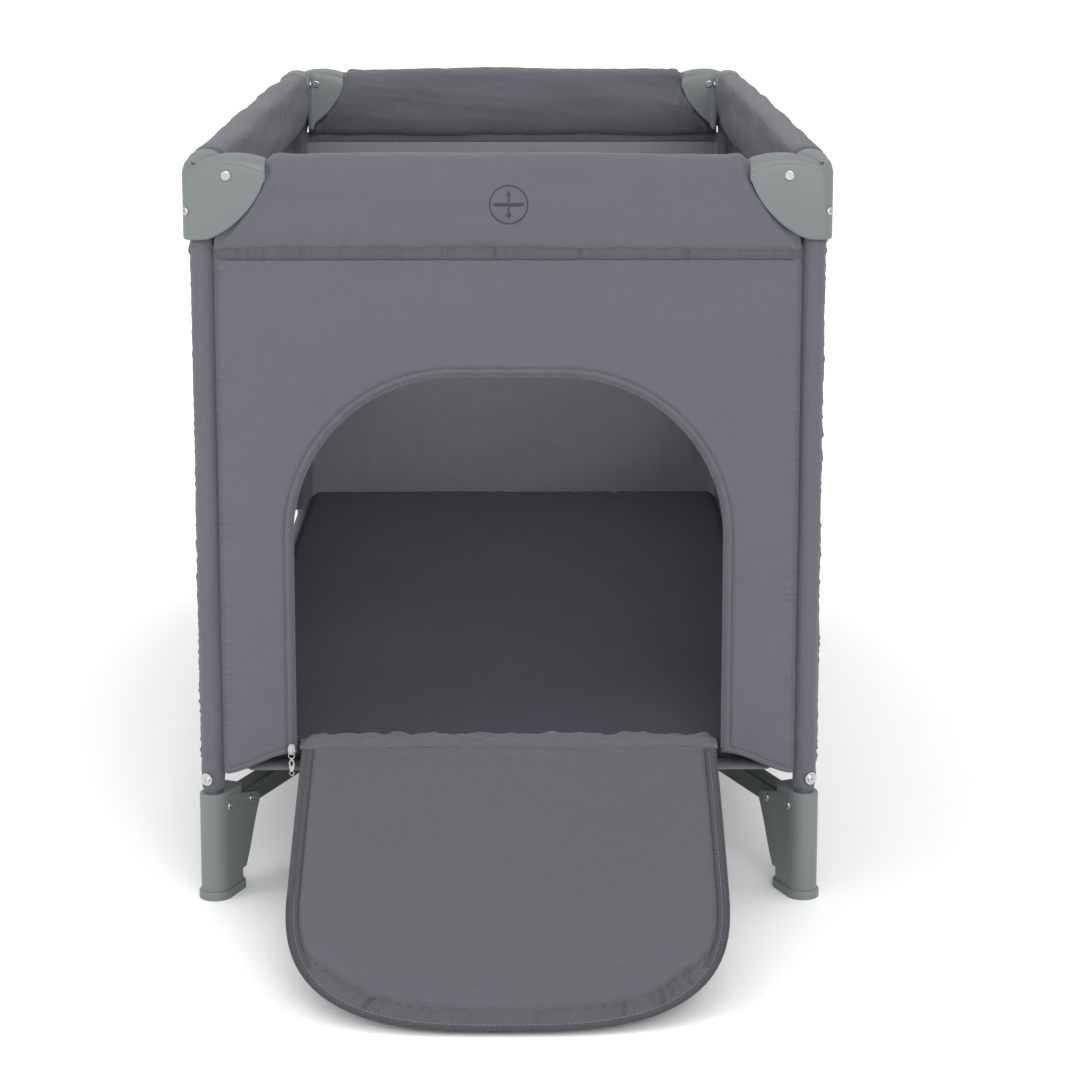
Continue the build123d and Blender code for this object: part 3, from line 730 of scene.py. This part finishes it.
def rail_cover(wall, order):
    half_name = HALVES[wall][order]
    relief, gathers, tugs = cover_relief(wall)
    reach = WALLS[wall][1]
    sign = -1 if order == 0 else 1
    end = reach - .031
    count = 72
    shape, normal = section(RAIL_SECTION, count)
    shape = shape * (1, -1) + (0, RAIL_TOP)
    normal = normal * (-1, 1)
    step = .0035
    near = .075  # the stretch by the cap, with closer sections
    u = np.concatenate([np.arange(0, end - near, step * 1.6),
                        np.linspace(end - near, end, int(near / step * 1.9))])
    U = u[:, None] + 0 * shape[None, :, 0]
    O = shape[None, :, 0] + 0 * U
    Z = shape[None, :, 1] + 0 * U
    bottom = RAIL_TOP - .094
    U = U + .0178 * smooth((bottom + .034 - Z) / .026) * smooth((U - end + .06) / .06)
    along = sign * U
    fold = reach - fold_reach(Z)
    low = np.exp(-(Z - bottom) / .012)
    ridge = gathers(along)
    tug = tugs(along + Z * .25, Z)
    near_end = np.exp(-np.clip(fold - U, 0, 1) / .022)
    push = relief(along, O, Z) + .00085 * ridge * low * smooth((Z - bottom) / .004 + .4)
    push += .00075 * tug * near_end - .0042 * smooth((U - fold) / .0048)
    push += .0007 * np.exp(-((U - fold + .004) / .004) ** 2)
    arch = .0024 * (1 - (U / end) ** 2) * smooth((Z - RAIL_TOP + .055) / .05)
    O = O + normal[None, :, 0] * push
    Z = Z + normal[None, :, 1] * push + arch
    flat = place(wall, along.ravel(), O.ravel(), Z.ravel()).reshape(*U.shape, 3)
    if sign > 0:
        flat = flat[::-1]
    points, faces = loft(flat)
    squash = ((0, 0, 1), (0, 0, RAIL_TOP - .005), .2)
    name = f"rail_cover_{wall}_{half_name}"
    obj = mesh_piece(name, points, faces, f"rail_{wall}_{half_name}", "shell_fabric", ["shell"], None, squash,
                     [f"rail_sleeve_{wall}_{half_name}"])
    return obj


# ---------------------------------------------------------------- post covers
def post_cover(corner, seed):
    sx, sy = CORNERS[corner]
    radius = (cover_high.x - cover_low.x) / 2
    low, high = cover_low.z + .001, CAP_BOTTOM + .03
    z = np.arange(low, high, .004)
    angle = np.linspace(0, math.tau, 40, endpoint=False)
    Z, A = np.meshgrid(z, angle, indexing="ij")
    wrinkle = ripples(seed, .02, .05)(A * radius + Z * .55, Z)
    soft = ripples(seed + 1, .03, .3)(A * radius, Z)
    near = np.exp(-(Z - low) / .035) + .8 * np.exp(-(CAP_BOTTOM - Z) / .03) + .12
    R = radius - .0002 + .00075 * wrinkle * near + .00035 * soft - .0012 * np.exp(-(Z - low) / .008)
    points = np.stack([sx * POST_X + R * np.cos(A), sy * POST_Y + R * np.sin(A), Z], -1)
    points, faces = loft(points)
    obj = mesh_piece(f"post_cover_{corner}", points, faces, f"leg_{corner}", "shell_fabric", ["shell"],
                     replaces=[f"post_sleeve_{corner}"])


# ---------------------------------------------------------------- corner caps
def cap_top(a):
    crest = .035
    return np.where(a < crest, CAP_TOP - .0075 * ((a - crest) / .0485) ** 2,
                    CAP_TOP - .0057 * ((a - crest) / .0305) ** 2)


def cap_ledge(a):
    return CAP_TOP - .010 - .008 * ((np.clip(a, -.0165, .07) - .0265) / .035) ** 2


def cap_under(a):
    t = np.clip((a - .0015) / .064, 0, 1)
    low = CAP_BOTTOM + .067 * (1 - (1 - t ** 1.55) ** (1 / 1.55))
    return np.minimum(low, cap_ledge(a) - .0085)


def corner_cap(corner):
    """A hollow moulded corner: sections from one arm's tip, round the corner, to the other arm's tip."""
    sx, sy = CORNERS[corner]
    r, fillet, tip = .014, .006, .0655
    straight = -CAP_HALF + r
    s = 1 - np.cos(np.linspace(0, math.pi / 2, 26))
    arm = tip - (tip - straight) * s
    turn = np.linspace(0, math.pi / 4, 7)[1:]
    outer, inner, at, inset = [], [], [], []
    for a in arm:
        outer.append((a, -CAP_HALF))
        inner.append((max(a, CAP_HALF), CAP_HALF))
        at.append(a)
        inset.append(.0011 * math.exp(-(tip - a) / .0006) + .0001)
    for t in turn:
        outer.append((straight - r * math.sin(t), straight - r * math.cos(t)))
        inner.append((CAP_HALF, CAP_HALF))
        at.append(straight - r * t / (math.pi / 4))
        inset.append(0)
    soft = [(CAP_HALF + fillet * (1 - math.sin(v)), CAP_HALF + fillet * (1 - math.cos(v)))
            for v in np.linspace(0, math.pi / 4, 8)]
    for i in range(len(inner)):  # round the inner corner a little
        a = arm[i] if i < len(arm) else at[i]
        if a < CAP_HALF + fillet:
            t = np.clip((CAP_HALF + fillet - a) / (CAP_HALF + fillet + CAP_HALF), 0, 1)
            x = np.interp(t * math.pi / 4, np.linspace(0, math.pi / 4, 8), [p[0] for p in soft])
            y = np.interp(t * math.pi / 4, np.linspace(0, math.pi / 4, 8), [p[1] for p in soft])
            inner[i] = (x, y)
    mirror = slice(-2, None, -1)
    outer += [(y, x) for x, y in outer[mirror]]
    inner += [(y, x) for x, y in inner[mirror]]
    at += at[mirror]
    inset += inset[mirror]
    rings = []
    for (ox, oy), (ix, iy), a, cut in zip(outer, inner, at, inset):
        zb, zl, zt = float(cap_under(a)) + cut, float(cap_ledge(a)), float(cap_top(a)) - cut
        o, i = np.array([ox, oy]), np.array([ix, iy])
        width = np.linalg.norm(i - o)
        way = (i - o) / width
        zc = zt - .0055
        side = [(.0040, zc), (.0040, zb + .0045), (.0037, zb + .0009), (.0028, zb), (.0012, zb + .0002),
                (.0003, zb + .0011), (0, zb + .003), (0, (zb + zl) / 2), (0, zl - .0022), (.0003, zl - .0009),
                (.0010, zl - .0001), (.0021, zl + .0005), (.0028, zl + .0016)]
        bend = np.linspace(.25, math.pi / 2, 9)[:-1]
        side += [(width / 2 - (width / 2 - .0029) * math.cos(b), zl + .001 + (zt - zl - .001) * math.sin(b))
                 for b in bend]
        ring = [(*(o + way * (x + cut)), z) for x, z in side]
        ring.append((*(o + way * width / 2), zt))
        ring += [(*(i - way * (x + cut)), z) for x, z in side[::-1]]
        rings.append(ring)
    rings = np.array(rings)
    world = np.stack([sx * (POST_X - rings[..., 0]), sy * (POST_Y - rings[..., 1]), rings[..., 2]], -1)
    points, faces = loft(world)
    if sx * sy > 0:
        faces = flipped(faces)
    obj = mesh_piece(f"cap_{corner}", points, faces, f"leg_{corner}", "cap_plastic", ["cap"],
                     replaces=[f"corner_cap_{corner}"], sharp=42)
    weld(obj)


def weld(obj, distance=.00005):
    bm = bmesh.new()
    bm.from_mesh(obj.data)
    bmesh.ops.remove_doubles(bm, verts=bm.verts, dist=distance)
    bmesh.ops.recalc_face_normals(bm, faces=bm.faces)
    bm.to_mesh(obj.data)
    bm.free()
    obj.data.set_sharp_from_angle(angle=math.radians(42))


# ---------------------------------------------------------------- door flap, sill and zip
HINGE = np.array([0, -.619, .166])
FLAP_LENGTH, FLAP_HALF, FLAP_CORNER = .382, .2135, .172
SLOPE = math.asin((HINGE[2] - .005) / FLAP_LENGTH)
WAY = np.array([0, -math.cos(SLOPE), -math.sin(SLOPE)])
UP = np.array([0, -math.sin(SLOPE), math.cos(SLOPE)])


def flap_place(points, height):
    """Flap points (across, along from the hinge) to the world, over the line from the sill to the floor."""
    v = points[:, 1]
    bow = .010 * np.sin(np.clip(v / FLAP_LENGTH, 0, 1) * math.pi)
    base = HINGE + np.stack([points[:, 0], 0 * v, 0 * v], -1) + WAY * v[:, None]
    return base + UP * (height + bow - .0006)[:, None]


def build_flap():
    low = .0035
    side = FLAP_LENGTH - FLAP_CORNER
    # seen from above with the hinge at the bottom, cloth on the left of each run, the end a squarish ellipse
    turn = np.linspace(0, math.pi, 260)
    squared = 2 / 2.9
    edge = [(FLAP_HALF, low)]
    edge += [(FLAP_HALF * float(np.sign(math.cos(t)) * abs(math.cos(t)) ** squared),
              side + FLAP_CORNER * math.sin(t) ** squared) for t in turn]
    loops = [[("edge", edge), ("hinge", [(-FLAP_HALF, low)])]]
    rows = {"edge": (.0006, .0014, .003, .0052, .0064, .0075, .009, .0105, .0118, .0128, .0138, .0155, .018),
            "hinge": (.0008, .002, .004, .007)}
    patch = Patch(loops, rows, far=.006, band=.03)
    broad, fine, pulls = ripples(401, .17, .12), ripples(402, .04, .026), ripples(403, .03, .16)
    crinkle, gathers, lumps = puckers(404, .0105), puckers(408, .012), puckers(412, .035)

    def height(points):
        edge_d, s = patch.distance("edge", points)
        hinge_d = patch.distance("hinge", points)[0]
        every = np.minimum(edge_d, hinge_d)
        x, v = points[:, 0], points[:, 1]
        front = smooth((v - side - .075) / .04)
        pad_edge = .0125 + .0115 * front
        half = .0011 * np.sqrt(np.clip(1 - (1 - np.clip(every / .0012, 0, 1)) ** 2, 0, 1))
        pad = smooth((edge_d - pad_edge) / .004) * smooth(hinge_d / .004)
        deep = np.clip(edge_d - pad_edge - .001, 0, 1)
        body = .0034 * pad + .0045 * (1 - np.exp(-deep / .03)) * smooth(hinge_d / .03)
        rise = body + .0011 * np.exp(-((edge_d - .0108) / .0012) ** 2) * (1 - .6 * front)
        rise += (.0006 * broad(x, v) + .00028 * fine(x, v)) * pad
        rise += .0011 * pulls(x + v * .4 * np.sign(-x), v) * np.exp(-hinge_d / .03) * pad
        rise += .0017 * crinkle(s + .3 * edge_d) * front * smooth((edge_d - .0075) / .003) * smooth(
            (pad_edge + .003 - edge_d) / .005)
        rise += .0007 * gathers(s) * np.exp(-np.abs(edge_d - pad_edge - .004) / .009)
        rise += .0007 * lumps(s) * np.exp(-np.abs(edge_d - .03) / .02) * pad
        rise += groove(edge_d, pad_edge, .0014, .0011) + groove(edge_d, .0064 + .0014 * front, .0008, .0007)
        return half, rise * smooth(every / .001), edge_d

    def upper(points):
        half, rise, _ = height(points)
        return flap_place(points, half + rise)

    def lower(points):
        half, rise, _ = height(points)
        return flap_place(points, -half - .12 * np.clip(rise, 0, 1))
    points, faces = patch.shell(upper, lower)
    points[:, 2] = np.maximum(points[:, 2], .0014)
    middle = patch.points[patch.tris].mean(1)
    d = patch.distance("edge", middle)[0]
    front = middle[:, 1] > side + .1
    hinged = patch.distance("hinge", middle)[0]
    taped = (d < .0066) | (hinged < .003) | ((d < .0126) & ~front)
    kind = np.where(taped, 1, np.where(front & (d < .0235), 2, 0))
    which = np.concatenate([kind, np.where(kind == 0, 3, kind)])
    obj = mesh_piece("door_flap_pad", points, faces, "door_flap", "shell_fabric",
                     ["flap", "tape", "seam_and_shade", "flap"], which, SQUASH_X, ["door_flap"])
    ups = UP[None]
    line = np.array(subdivide(edge, .003))
    parts = []
    for offset in (.0126, .0072):
        beside = offset_line(line, offset)[2:-2]
        if offset > .01:
            beside = beside[beside[:, 1] < side + .07]
        half_way = np.argmax(beside[:, 0] < 0)
        world = upper(beside if offset < .01 else beside[:half_way])
        if offset > .01:
            other = upper(beside[half_way:])
            parts.append(stitches(other + UP * .0001, np.repeat(ups, len(other), 0)))
        parts.append(stitches(world + UP * .0001, np.repeat(ups, len(world), 0)))
    points, faces = gather(parts)
    mesh_piece("door_flap_stitches", points, faces, "door_flap", "shell_fabric", ["pale_thread"],
               squash=SQUASH_X)
    world = upper(offset_line(line, .0012)[2:-2])
    teeth_on("door_flap_teeth", world, np.repeat(ups, len(world), 0), "door_flap", SQUASH_X, mat="tape")


def build_sill():
    """The soft strip from the flap's hinge up and back to the mattress."""
    half = DOOR_HALF - .0035
    u = np.linspace(-half, half, 150)
    wrinkle, soft, small = ripples(451, .022, .02), ripples(452, .11, .05), ripples(453, .009, .03)
    profile = np.array([(14.2, 160.6), (16.6, 161.6), (17.6, 164.2), (16.4, 167.6), (12.5, 170.4), (6, 172.4),
                        (-2, 173.2), (-9, 172.6), (-13.5, 170.6), (-14.5, 168), (-12, 166.8), (-4, 167), (5, 166),
                        (11, 163.6)]) * .001
    rings = []
    shape, normal = section((profile * 1000).tolist(), 40)
    for x in u:
        end = smooth(min((half - abs(x)) / .014, 1))
        top = np.clip((shape[:, 1] - .162) / .01, 0, 1)
        push = (.0015 * wrinkle(x + shape[:, 0] * .8, shape[:, 0]) + .0009 * soft(x, shape[:, 0])
                + .0003 * small(x, shape[:, 0])) * top
        o = shape[:, 0] + normal[:, 0] * push
        z = shape[:, 1] + normal[:, 1] * push
        o = .004 + (o - .004) * (.85 + .15 * end)
        z = .165 + (z - .165) * (.35 + .65 * end)
        rings.append(place("front", np.full(len(o), x), o, z))
    points, faces = loft(rings)
    obj = mesh_piece("door_sill", points, faces, "leg_front_left", "shell_fabric", ["shell"], squash=SQUASH_X)


def tube(path, radius, count=10, closed=False):
    """Round bar along a 3-D path, flat in a plane of constant y."""
    path = np.asarray(path, float)
    step = np.roll(path, -1, 0) - np.roll(path, 1, 0) if closed else np.gradient(path, axis=0)
    step /= np.linalg.norm(step, axis=1)[:, None]
    y = np.array([0, 1.0, 0])
    side = np.cross(step, y)
    turn = np.linspace(0, math.tau, count, endpoint=False)
    rings = [p + (np.cos(turn)[:, None] * s + np.sin(turn)[:, None] * y) * radius for p, s in zip(path, side)]
    if closed:
        rings.append(rings[0])
    return loft(rings, ends=not closed)


def plate(outline, y_front, y_back, bevel=.0004):
    """A flat plate with softened edges, its outline in (x, z)."""
    p = np.asarray(outline, float)
    c = p.mean(0)
    small = c + (p - c) * (1 - bevel / np.linalg.norm(p - c, axis=1))[:, None]
    rings = []
    for shape, y in ((small, y_back), (p, y_back - bevel), (p, y_front + bevel), (small, y_front)):
        rings.append(np.stack([shape[:, 0], np.full(len(shape), y), shape[:, 1]], -1))
    return loft(rings)


def build_zip():
    x = (slider_low.x + slider_high.x) / 2
    top, bottom = slider_high.z, slider_low.z
    y = slider_high.y - .0006
    mid = (top + bottom) / 2
    t = np.linspace(0, math.tau, 40, endpoint=False)
    wide = .0043 * (1 - .16 * np.sin(t)) * np.sign(np.cos(t)) * np.abs(np.cos(t)) ** .7
    body = np.stack([x + wide, mid + .0054 * np.sign(np.sin(t)) * np.abs(np.sin(t)) ** .75], -1)
    parts = [plate(body, y - .0024, y), plate(x_scale(body, x, .9), y - .0052, y - .003)]
    bridge = [(0, y - depth, mid + rise) for depth, rise in (
        (.0051, .0042), (.0066, .003), (.0069, 0), (.0066, -.003), (.0051, -.0042))]
    across = ((-.0012, -.0004), (.0012, -.0004), (.0012, .0004), (-.0012, .0004))
    rings = [[(x + a, p[1], p[2] + b) for a, b in across] for p in bridge]
    parts.append(loft(rings))
    points, faces = gather(parts)
    mesh_piece("zip_slider_body", points, faces, "zip_slider", "zip_metal", ["nickel"], squash=SQUASH_X,
               replaces=["zip_slider"], sharp=35)
    y = y - .0066
    z = mid - .002
    ring = [(x + .0031 * math.sin(a), y, z - .0034 + .0034 * math.cos(a)) for a in t]
    loop = []
    for a in t:
        w = .0031 if math.cos(a) > 0 else .0026
        loop.append((x + w * math.sin(a) * (1 - .2 * math.cos(a)), y, z - .0135 + .0072 * math.cos(a)))
    hole = [(x + (p[0] - x) * .52, z - .0118 + (p[2] - z + .0135) * .42) for p in loop]
    outer_line = [(p[0], p[2]) for p in loop]
    rings = []
    for line, d in ((hole, .0003), (hole, .0006), (outer_line, .0006), (outer_line, -.0002), (outer_line, -.0006),
                    (hole, -.0006), (hole, .0003)):
        grow = 1.0 if line is hole else 1.06 if abs(d) < .0005 else 1.0
        rings.append([(x + (p[0] - x) * grow, y + d, p[1]) for p in line])
    tab = loft(rings, ends=False)
    tail = [(x + .0021 * math.sin(a), y, z - .0223 + .0026 * math.cos(a)) for a in t]
    points, faces = gather([tube(ring, .00055, closed=True), tab, tube(tail, .0005, closed=True)])
    mesh_piece("zip_pull_tab", points, faces, "zip_pull", "zip_metal", ["nickel"], squash=SQUASH_X,
               replaces=["zip_pull"], sharp=35)


def x_scale(points, x, by):
    return np.stack([x + (points[:, 0] - x) * by, points[:, 1]], -1)


# ---------------------------------------------------------------- emblem, mattress, floor
def build_emblem():
    """Generic round mark on the front rail: a ring, two arrows and a plain bar."""
    centre, base = (.0008, RAIL_TOP - .0482), .0179
    relief = cover_relief("front")[0]
    t = np.linspace(0, math.tau, 96, endpoint=False)

    def on_cover(x, z, lift):
        across, up = centre[0] + x, centre[1] + z
        return place("front", across, base + relief(across, base + 0 * up, up) + lift, up)

    def flat(outline):
        p = np.array(subdivide(outline + outline[:1], .0012))
        return loft([on_cover(p[:, 0], p[:, 1], -.0016), on_cover(p[:, 0], p[:, 1], .00045)])
    parts = []
    rings = []
    for r, d in ((.0182, -.0016), (.0182, .0003), (.0185, .0006), (.0193, .0006), (.0196, .0003), (.0196, -.0016)):
        rings.append(on_cover(r * np.cos(t), r * np.sin(t), d))
    parts.append(loft(rings, ends=False))
    for sign in (-1, 1):
        shaft = [(-.0009, .0026), (.0009, .0026), (.0009, .0098), (-.0009, .0098)]
        head = [(-.0029, .0092), (0, .0082), (.0029, .0092), (0, .0142)]
        parts += [flat([(a, b * sign) for a, b in line]) for line in (shaft, head)]
    parts.append(flat([(-.0150, -.0017), (.0150, -.0017), (.0150, .0017), (-.0150, .0017)]))
    points, faces = gather(parts)
    mesh_piece("rail_mark", points, faces, "lock_front", "shell_fabric", ["print"], sharp=30)


def build_mattress():
    r = .012
    hx, hy = pad_high.x, pad_high.y
    loop = arc((hx - r, -hy + r), r, -math.pi / 2, 0) + arc((hx - r, hy - r), r, 0, math.pi / 2)
    loop += arc((-hx + r, hy - r), r, math.pi / 2, math.pi)
    loop += arc((-hx + r, -hy + r), r, math.pi, 3 * math.pi / 2)
    rows = {"edge": (.0008, .002, .004, .0065, .0095)}
    patch = Patch([[("edge", loop)]], rows, near=.005, far=.012, band=.03)
    broad, fine = ripples(501, .3, .3), ripples(502, .06, .05)
    gathers = puckers(503, .02)
    mid, half = (pad_low.z + pad_high.z) / 2, (pad_high.z - pad_low.z) / 2

    def height(points):
        d, s = patch.distance("edge", points)
        edge = np.sqrt(np.clip(1 - (1 - np.clip(d / .012, 0, 1)) ** 2, 0, 1))
        x, y = points.T
        lumps = (.0014 * broad(x, y) + .0004 * fine(x, y)) * smooth(d / .04)
        lumps += .0012 * gathers(s) * np.exp(-d / .015) * smooth(d / .004)
        return half * edge + lumps * edge, half * edge

    def upper(points):
        sag = .0045 * smooth((points[:, 1] + hy) / (2 * hy))
        return np.column_stack([points, mid - sag + height(points)[0]])

    def lower(points):
        return np.column_stack([points, np.maximum(mid - height(points)[1], pad_low.z)])
    points, faces = patch.shell(upper, lower)
    obj = mesh_piece("mattress_pad", points, faces, "mattress", "mattress_fabric", ["pad"],
                     replaces=["mattress"])
    line = np.array(subdivide(loop + loop[:1], .006))
    world = np.column_stack([line, np.full(len(line), mid - .001)])
    welt = tube_flat(world, .0028)
    mesh_piece("mattress_piping", *welt, "mattress", "mattress_fabric", ["pad"])


def tube_flat(path, radius, count=10):
    """Closed piping round a path that lies in a level plane."""
    step = np.roll(path, -1, 0) - np.roll(path, 1, 0)
    step[0], step[-1] = path[1] - path[-2], path[1] - path[-2]
    step /= np.linalg.norm(step, axis=1)[:, None]
    side = np.cross(step, (0, 0, 1.0))
    turn = np.linspace(0, math.tau, count, endpoint=False)
    rings = [p + (np.cos(turn)[:, None] * s + np.sin(turn)[:, None] * np.array([0, 0, 1.0])) * radius
             for p, s in zip(path, side)]
    return loft(rings, ends=False)


def build_floor():
    """The fabric floor in four quarters, each with the base bar under it."""
    hx, hy = POST_X + FLOOR_OVER, POST_Y + FLOOR_OVER
    length = math.hypot(POST_X - REACH, POST_Y - REACH)
    for number, (corner, (sx, sy)) in enumerate(CORNERS.items()):
        loop = [(0.0, 0.0), (hx, 0), (hx, hy - .06), (hx - .045, hy), (0, hy)]
        edge = subdivide(loop + loop[:1], .01)
        patch = Patch([[("edge", edge)]], {"edge": (.001,)}, near=.01, far=.02, band=.012)
        waves = ripples(601 + number, .2, .2)

        def level(points, lift):
            d = patch.distance("edge", points)[0]
            sag = .0008 * waves(*points.T) * smooth(d / .05) + lift * np.minimum(d / .001, 1)
            return np.column_stack([points * (sx, sy), FLOOR_LOW + .0013 + sag])
        points, faces = patch.shell(lambda p: level(p, .0009), lambda p: level(p, -.0009))
        if sx * sy < 0:
            faces = flipped(faces)
        along = np.array([(POST_X - REACH) * sx, (POST_Y - REACH) * sy, 0]) / length
        obj = mesh_piece(f"floor_cloth_{corner}", points, faces, f"bar_{corner}", "shell_fabric", ["lit_lining"],
                         squash=((-along[1], along[0], 0), (sx * POST_X, sy * POST_Y, 0), .25),
                         replaces=["floor"])


# ---------------------------------------------------------------- building it all
for number, wall in enumerate(WALLS):
    for order in (0, 1):
        rail_cover(wall, order)
    build_wall(wall, 200 + 30 * number)
for number, corner in enumerate(CORNERS):
    post_cover(corner, 330 + 5 * number)
    corner_cap(corner)
build_flap()
build_sill()
build_zip()
build_emblem()
build_mattress()
build_floor()

FINISH = {"post_": "paint", "rail_": "paint", "base_bar_": "paint", "foot_": "cap", "corner_screws_": "steel",
          "hub_pins": "steel", "hub": "dark", "lock_": "dark", "pull_strap": "web"}
for name, node in frame["nodes"].items():
    longest_first = sorted(FINISH, key=len, reverse=True)
    key = next((FINISH[start] for start in longest_first if name.startswith(start)), None)
    if key and not node.hide_render:
        for slot in node.material_slots:
            slot.material = M[key]

# ---------------------------------------------------------------- stage, light and camera
scene = bpy.context.scene
stage_mesh = bpy.data.meshes.new("stage_floor")
SPAN = 80.0
stage_mesh.from_pydata([(x * SPAN, y * SPAN, 0) for x, y in ((-1, -1), (1, -1), (1, 1), (-1, 1))], [],
                       [(0, 1, 2, 3)])
stage_floor = bpy.data.objects.new("stage_floor", stage_mesh)
scene.collection.objects.link(stage_floor)
paper = Nodes("stage_paper")
paper.link("Base Color", paper.colour(paper.noise(.8), (.965, .965, .965), (.985, .985, .985)))
paper.set(Roughness=.9, Specular_IOR_Level=.1)
stage_mesh.materials.append(paper.mat)

world = bpy.data.worlds.new("studio")
world.use_nodes = True
sky = world.node_tree.nodes
rise = sky.new("ShaderNodeSeparateXYZ")
ramp = sky.new("ShaderNodeMapRange")
world.node_tree.links.new(sky.new("ShaderNodeTexCoord").outputs["Generated"], rise.inputs[0])
world.node_tree.links.new(rise.outputs[2], ramp.inputs[0])
ramp.inputs[3].default_value, ramp.inputs[4].default_value = .55, 1.3
world.node_tree.links.new(ramp.outputs[0], sky["Background"].inputs[1])
sky["Background"].inputs[0].default_value = (1, 1, 1, 1)
scene.world = world
scene.view_settings.view_transform = "Standard"


def area_light(name, spot, target, size, power):
    data = bpy.data.lights.new(name, "AREA")
    data.shape = "RECTANGLE"
    data.size, data.size_y = size
    data.energy = power
    light = bpy.data.objects.new(name, data)
    light.location = spot
    light.rotation_euler = (Vector(target) - Vector(spot)).to_track_quat("-Z", "Y").to_euler()
    scene.collection.objects.link(light)


sun_data = bpy.data.lights.new("front_softbox", "SUN")
sun_data.energy, sun_data.angle = 1.5, math.radians(38)
sun = bpy.data.objects.new("front_softbox", sun_data)
sun.rotation_euler = (math.radians(90 - 27), 0, math.radians(12))
scene.collection.objects.link(sun)
area_light("side", (-3.4, -2.2, 2.0), (0, -.2, .4), (1.4, 1.4), 25)

camera_data = bpy.data.cameras.new("camera")
camera = bpy.data.objects.new("camera", camera_data)
scene.collection.objects.link(camera)
scene.camera = camera
FOCAL_PX, PICTURE = 2762, 1080
camera_data.sensor_width = 36
camera_data.lens = FOCAL_PX / PICTURE * 36
camera_data.shift_y = -.163
camera_data.clip_end = 400
camera.location = (.016, -3.358, 1.0523)
camera.rotation_euler = (math.radians(90 - 10.05), 0, math.radians(-.336))

bpy.context.view_layer.update()
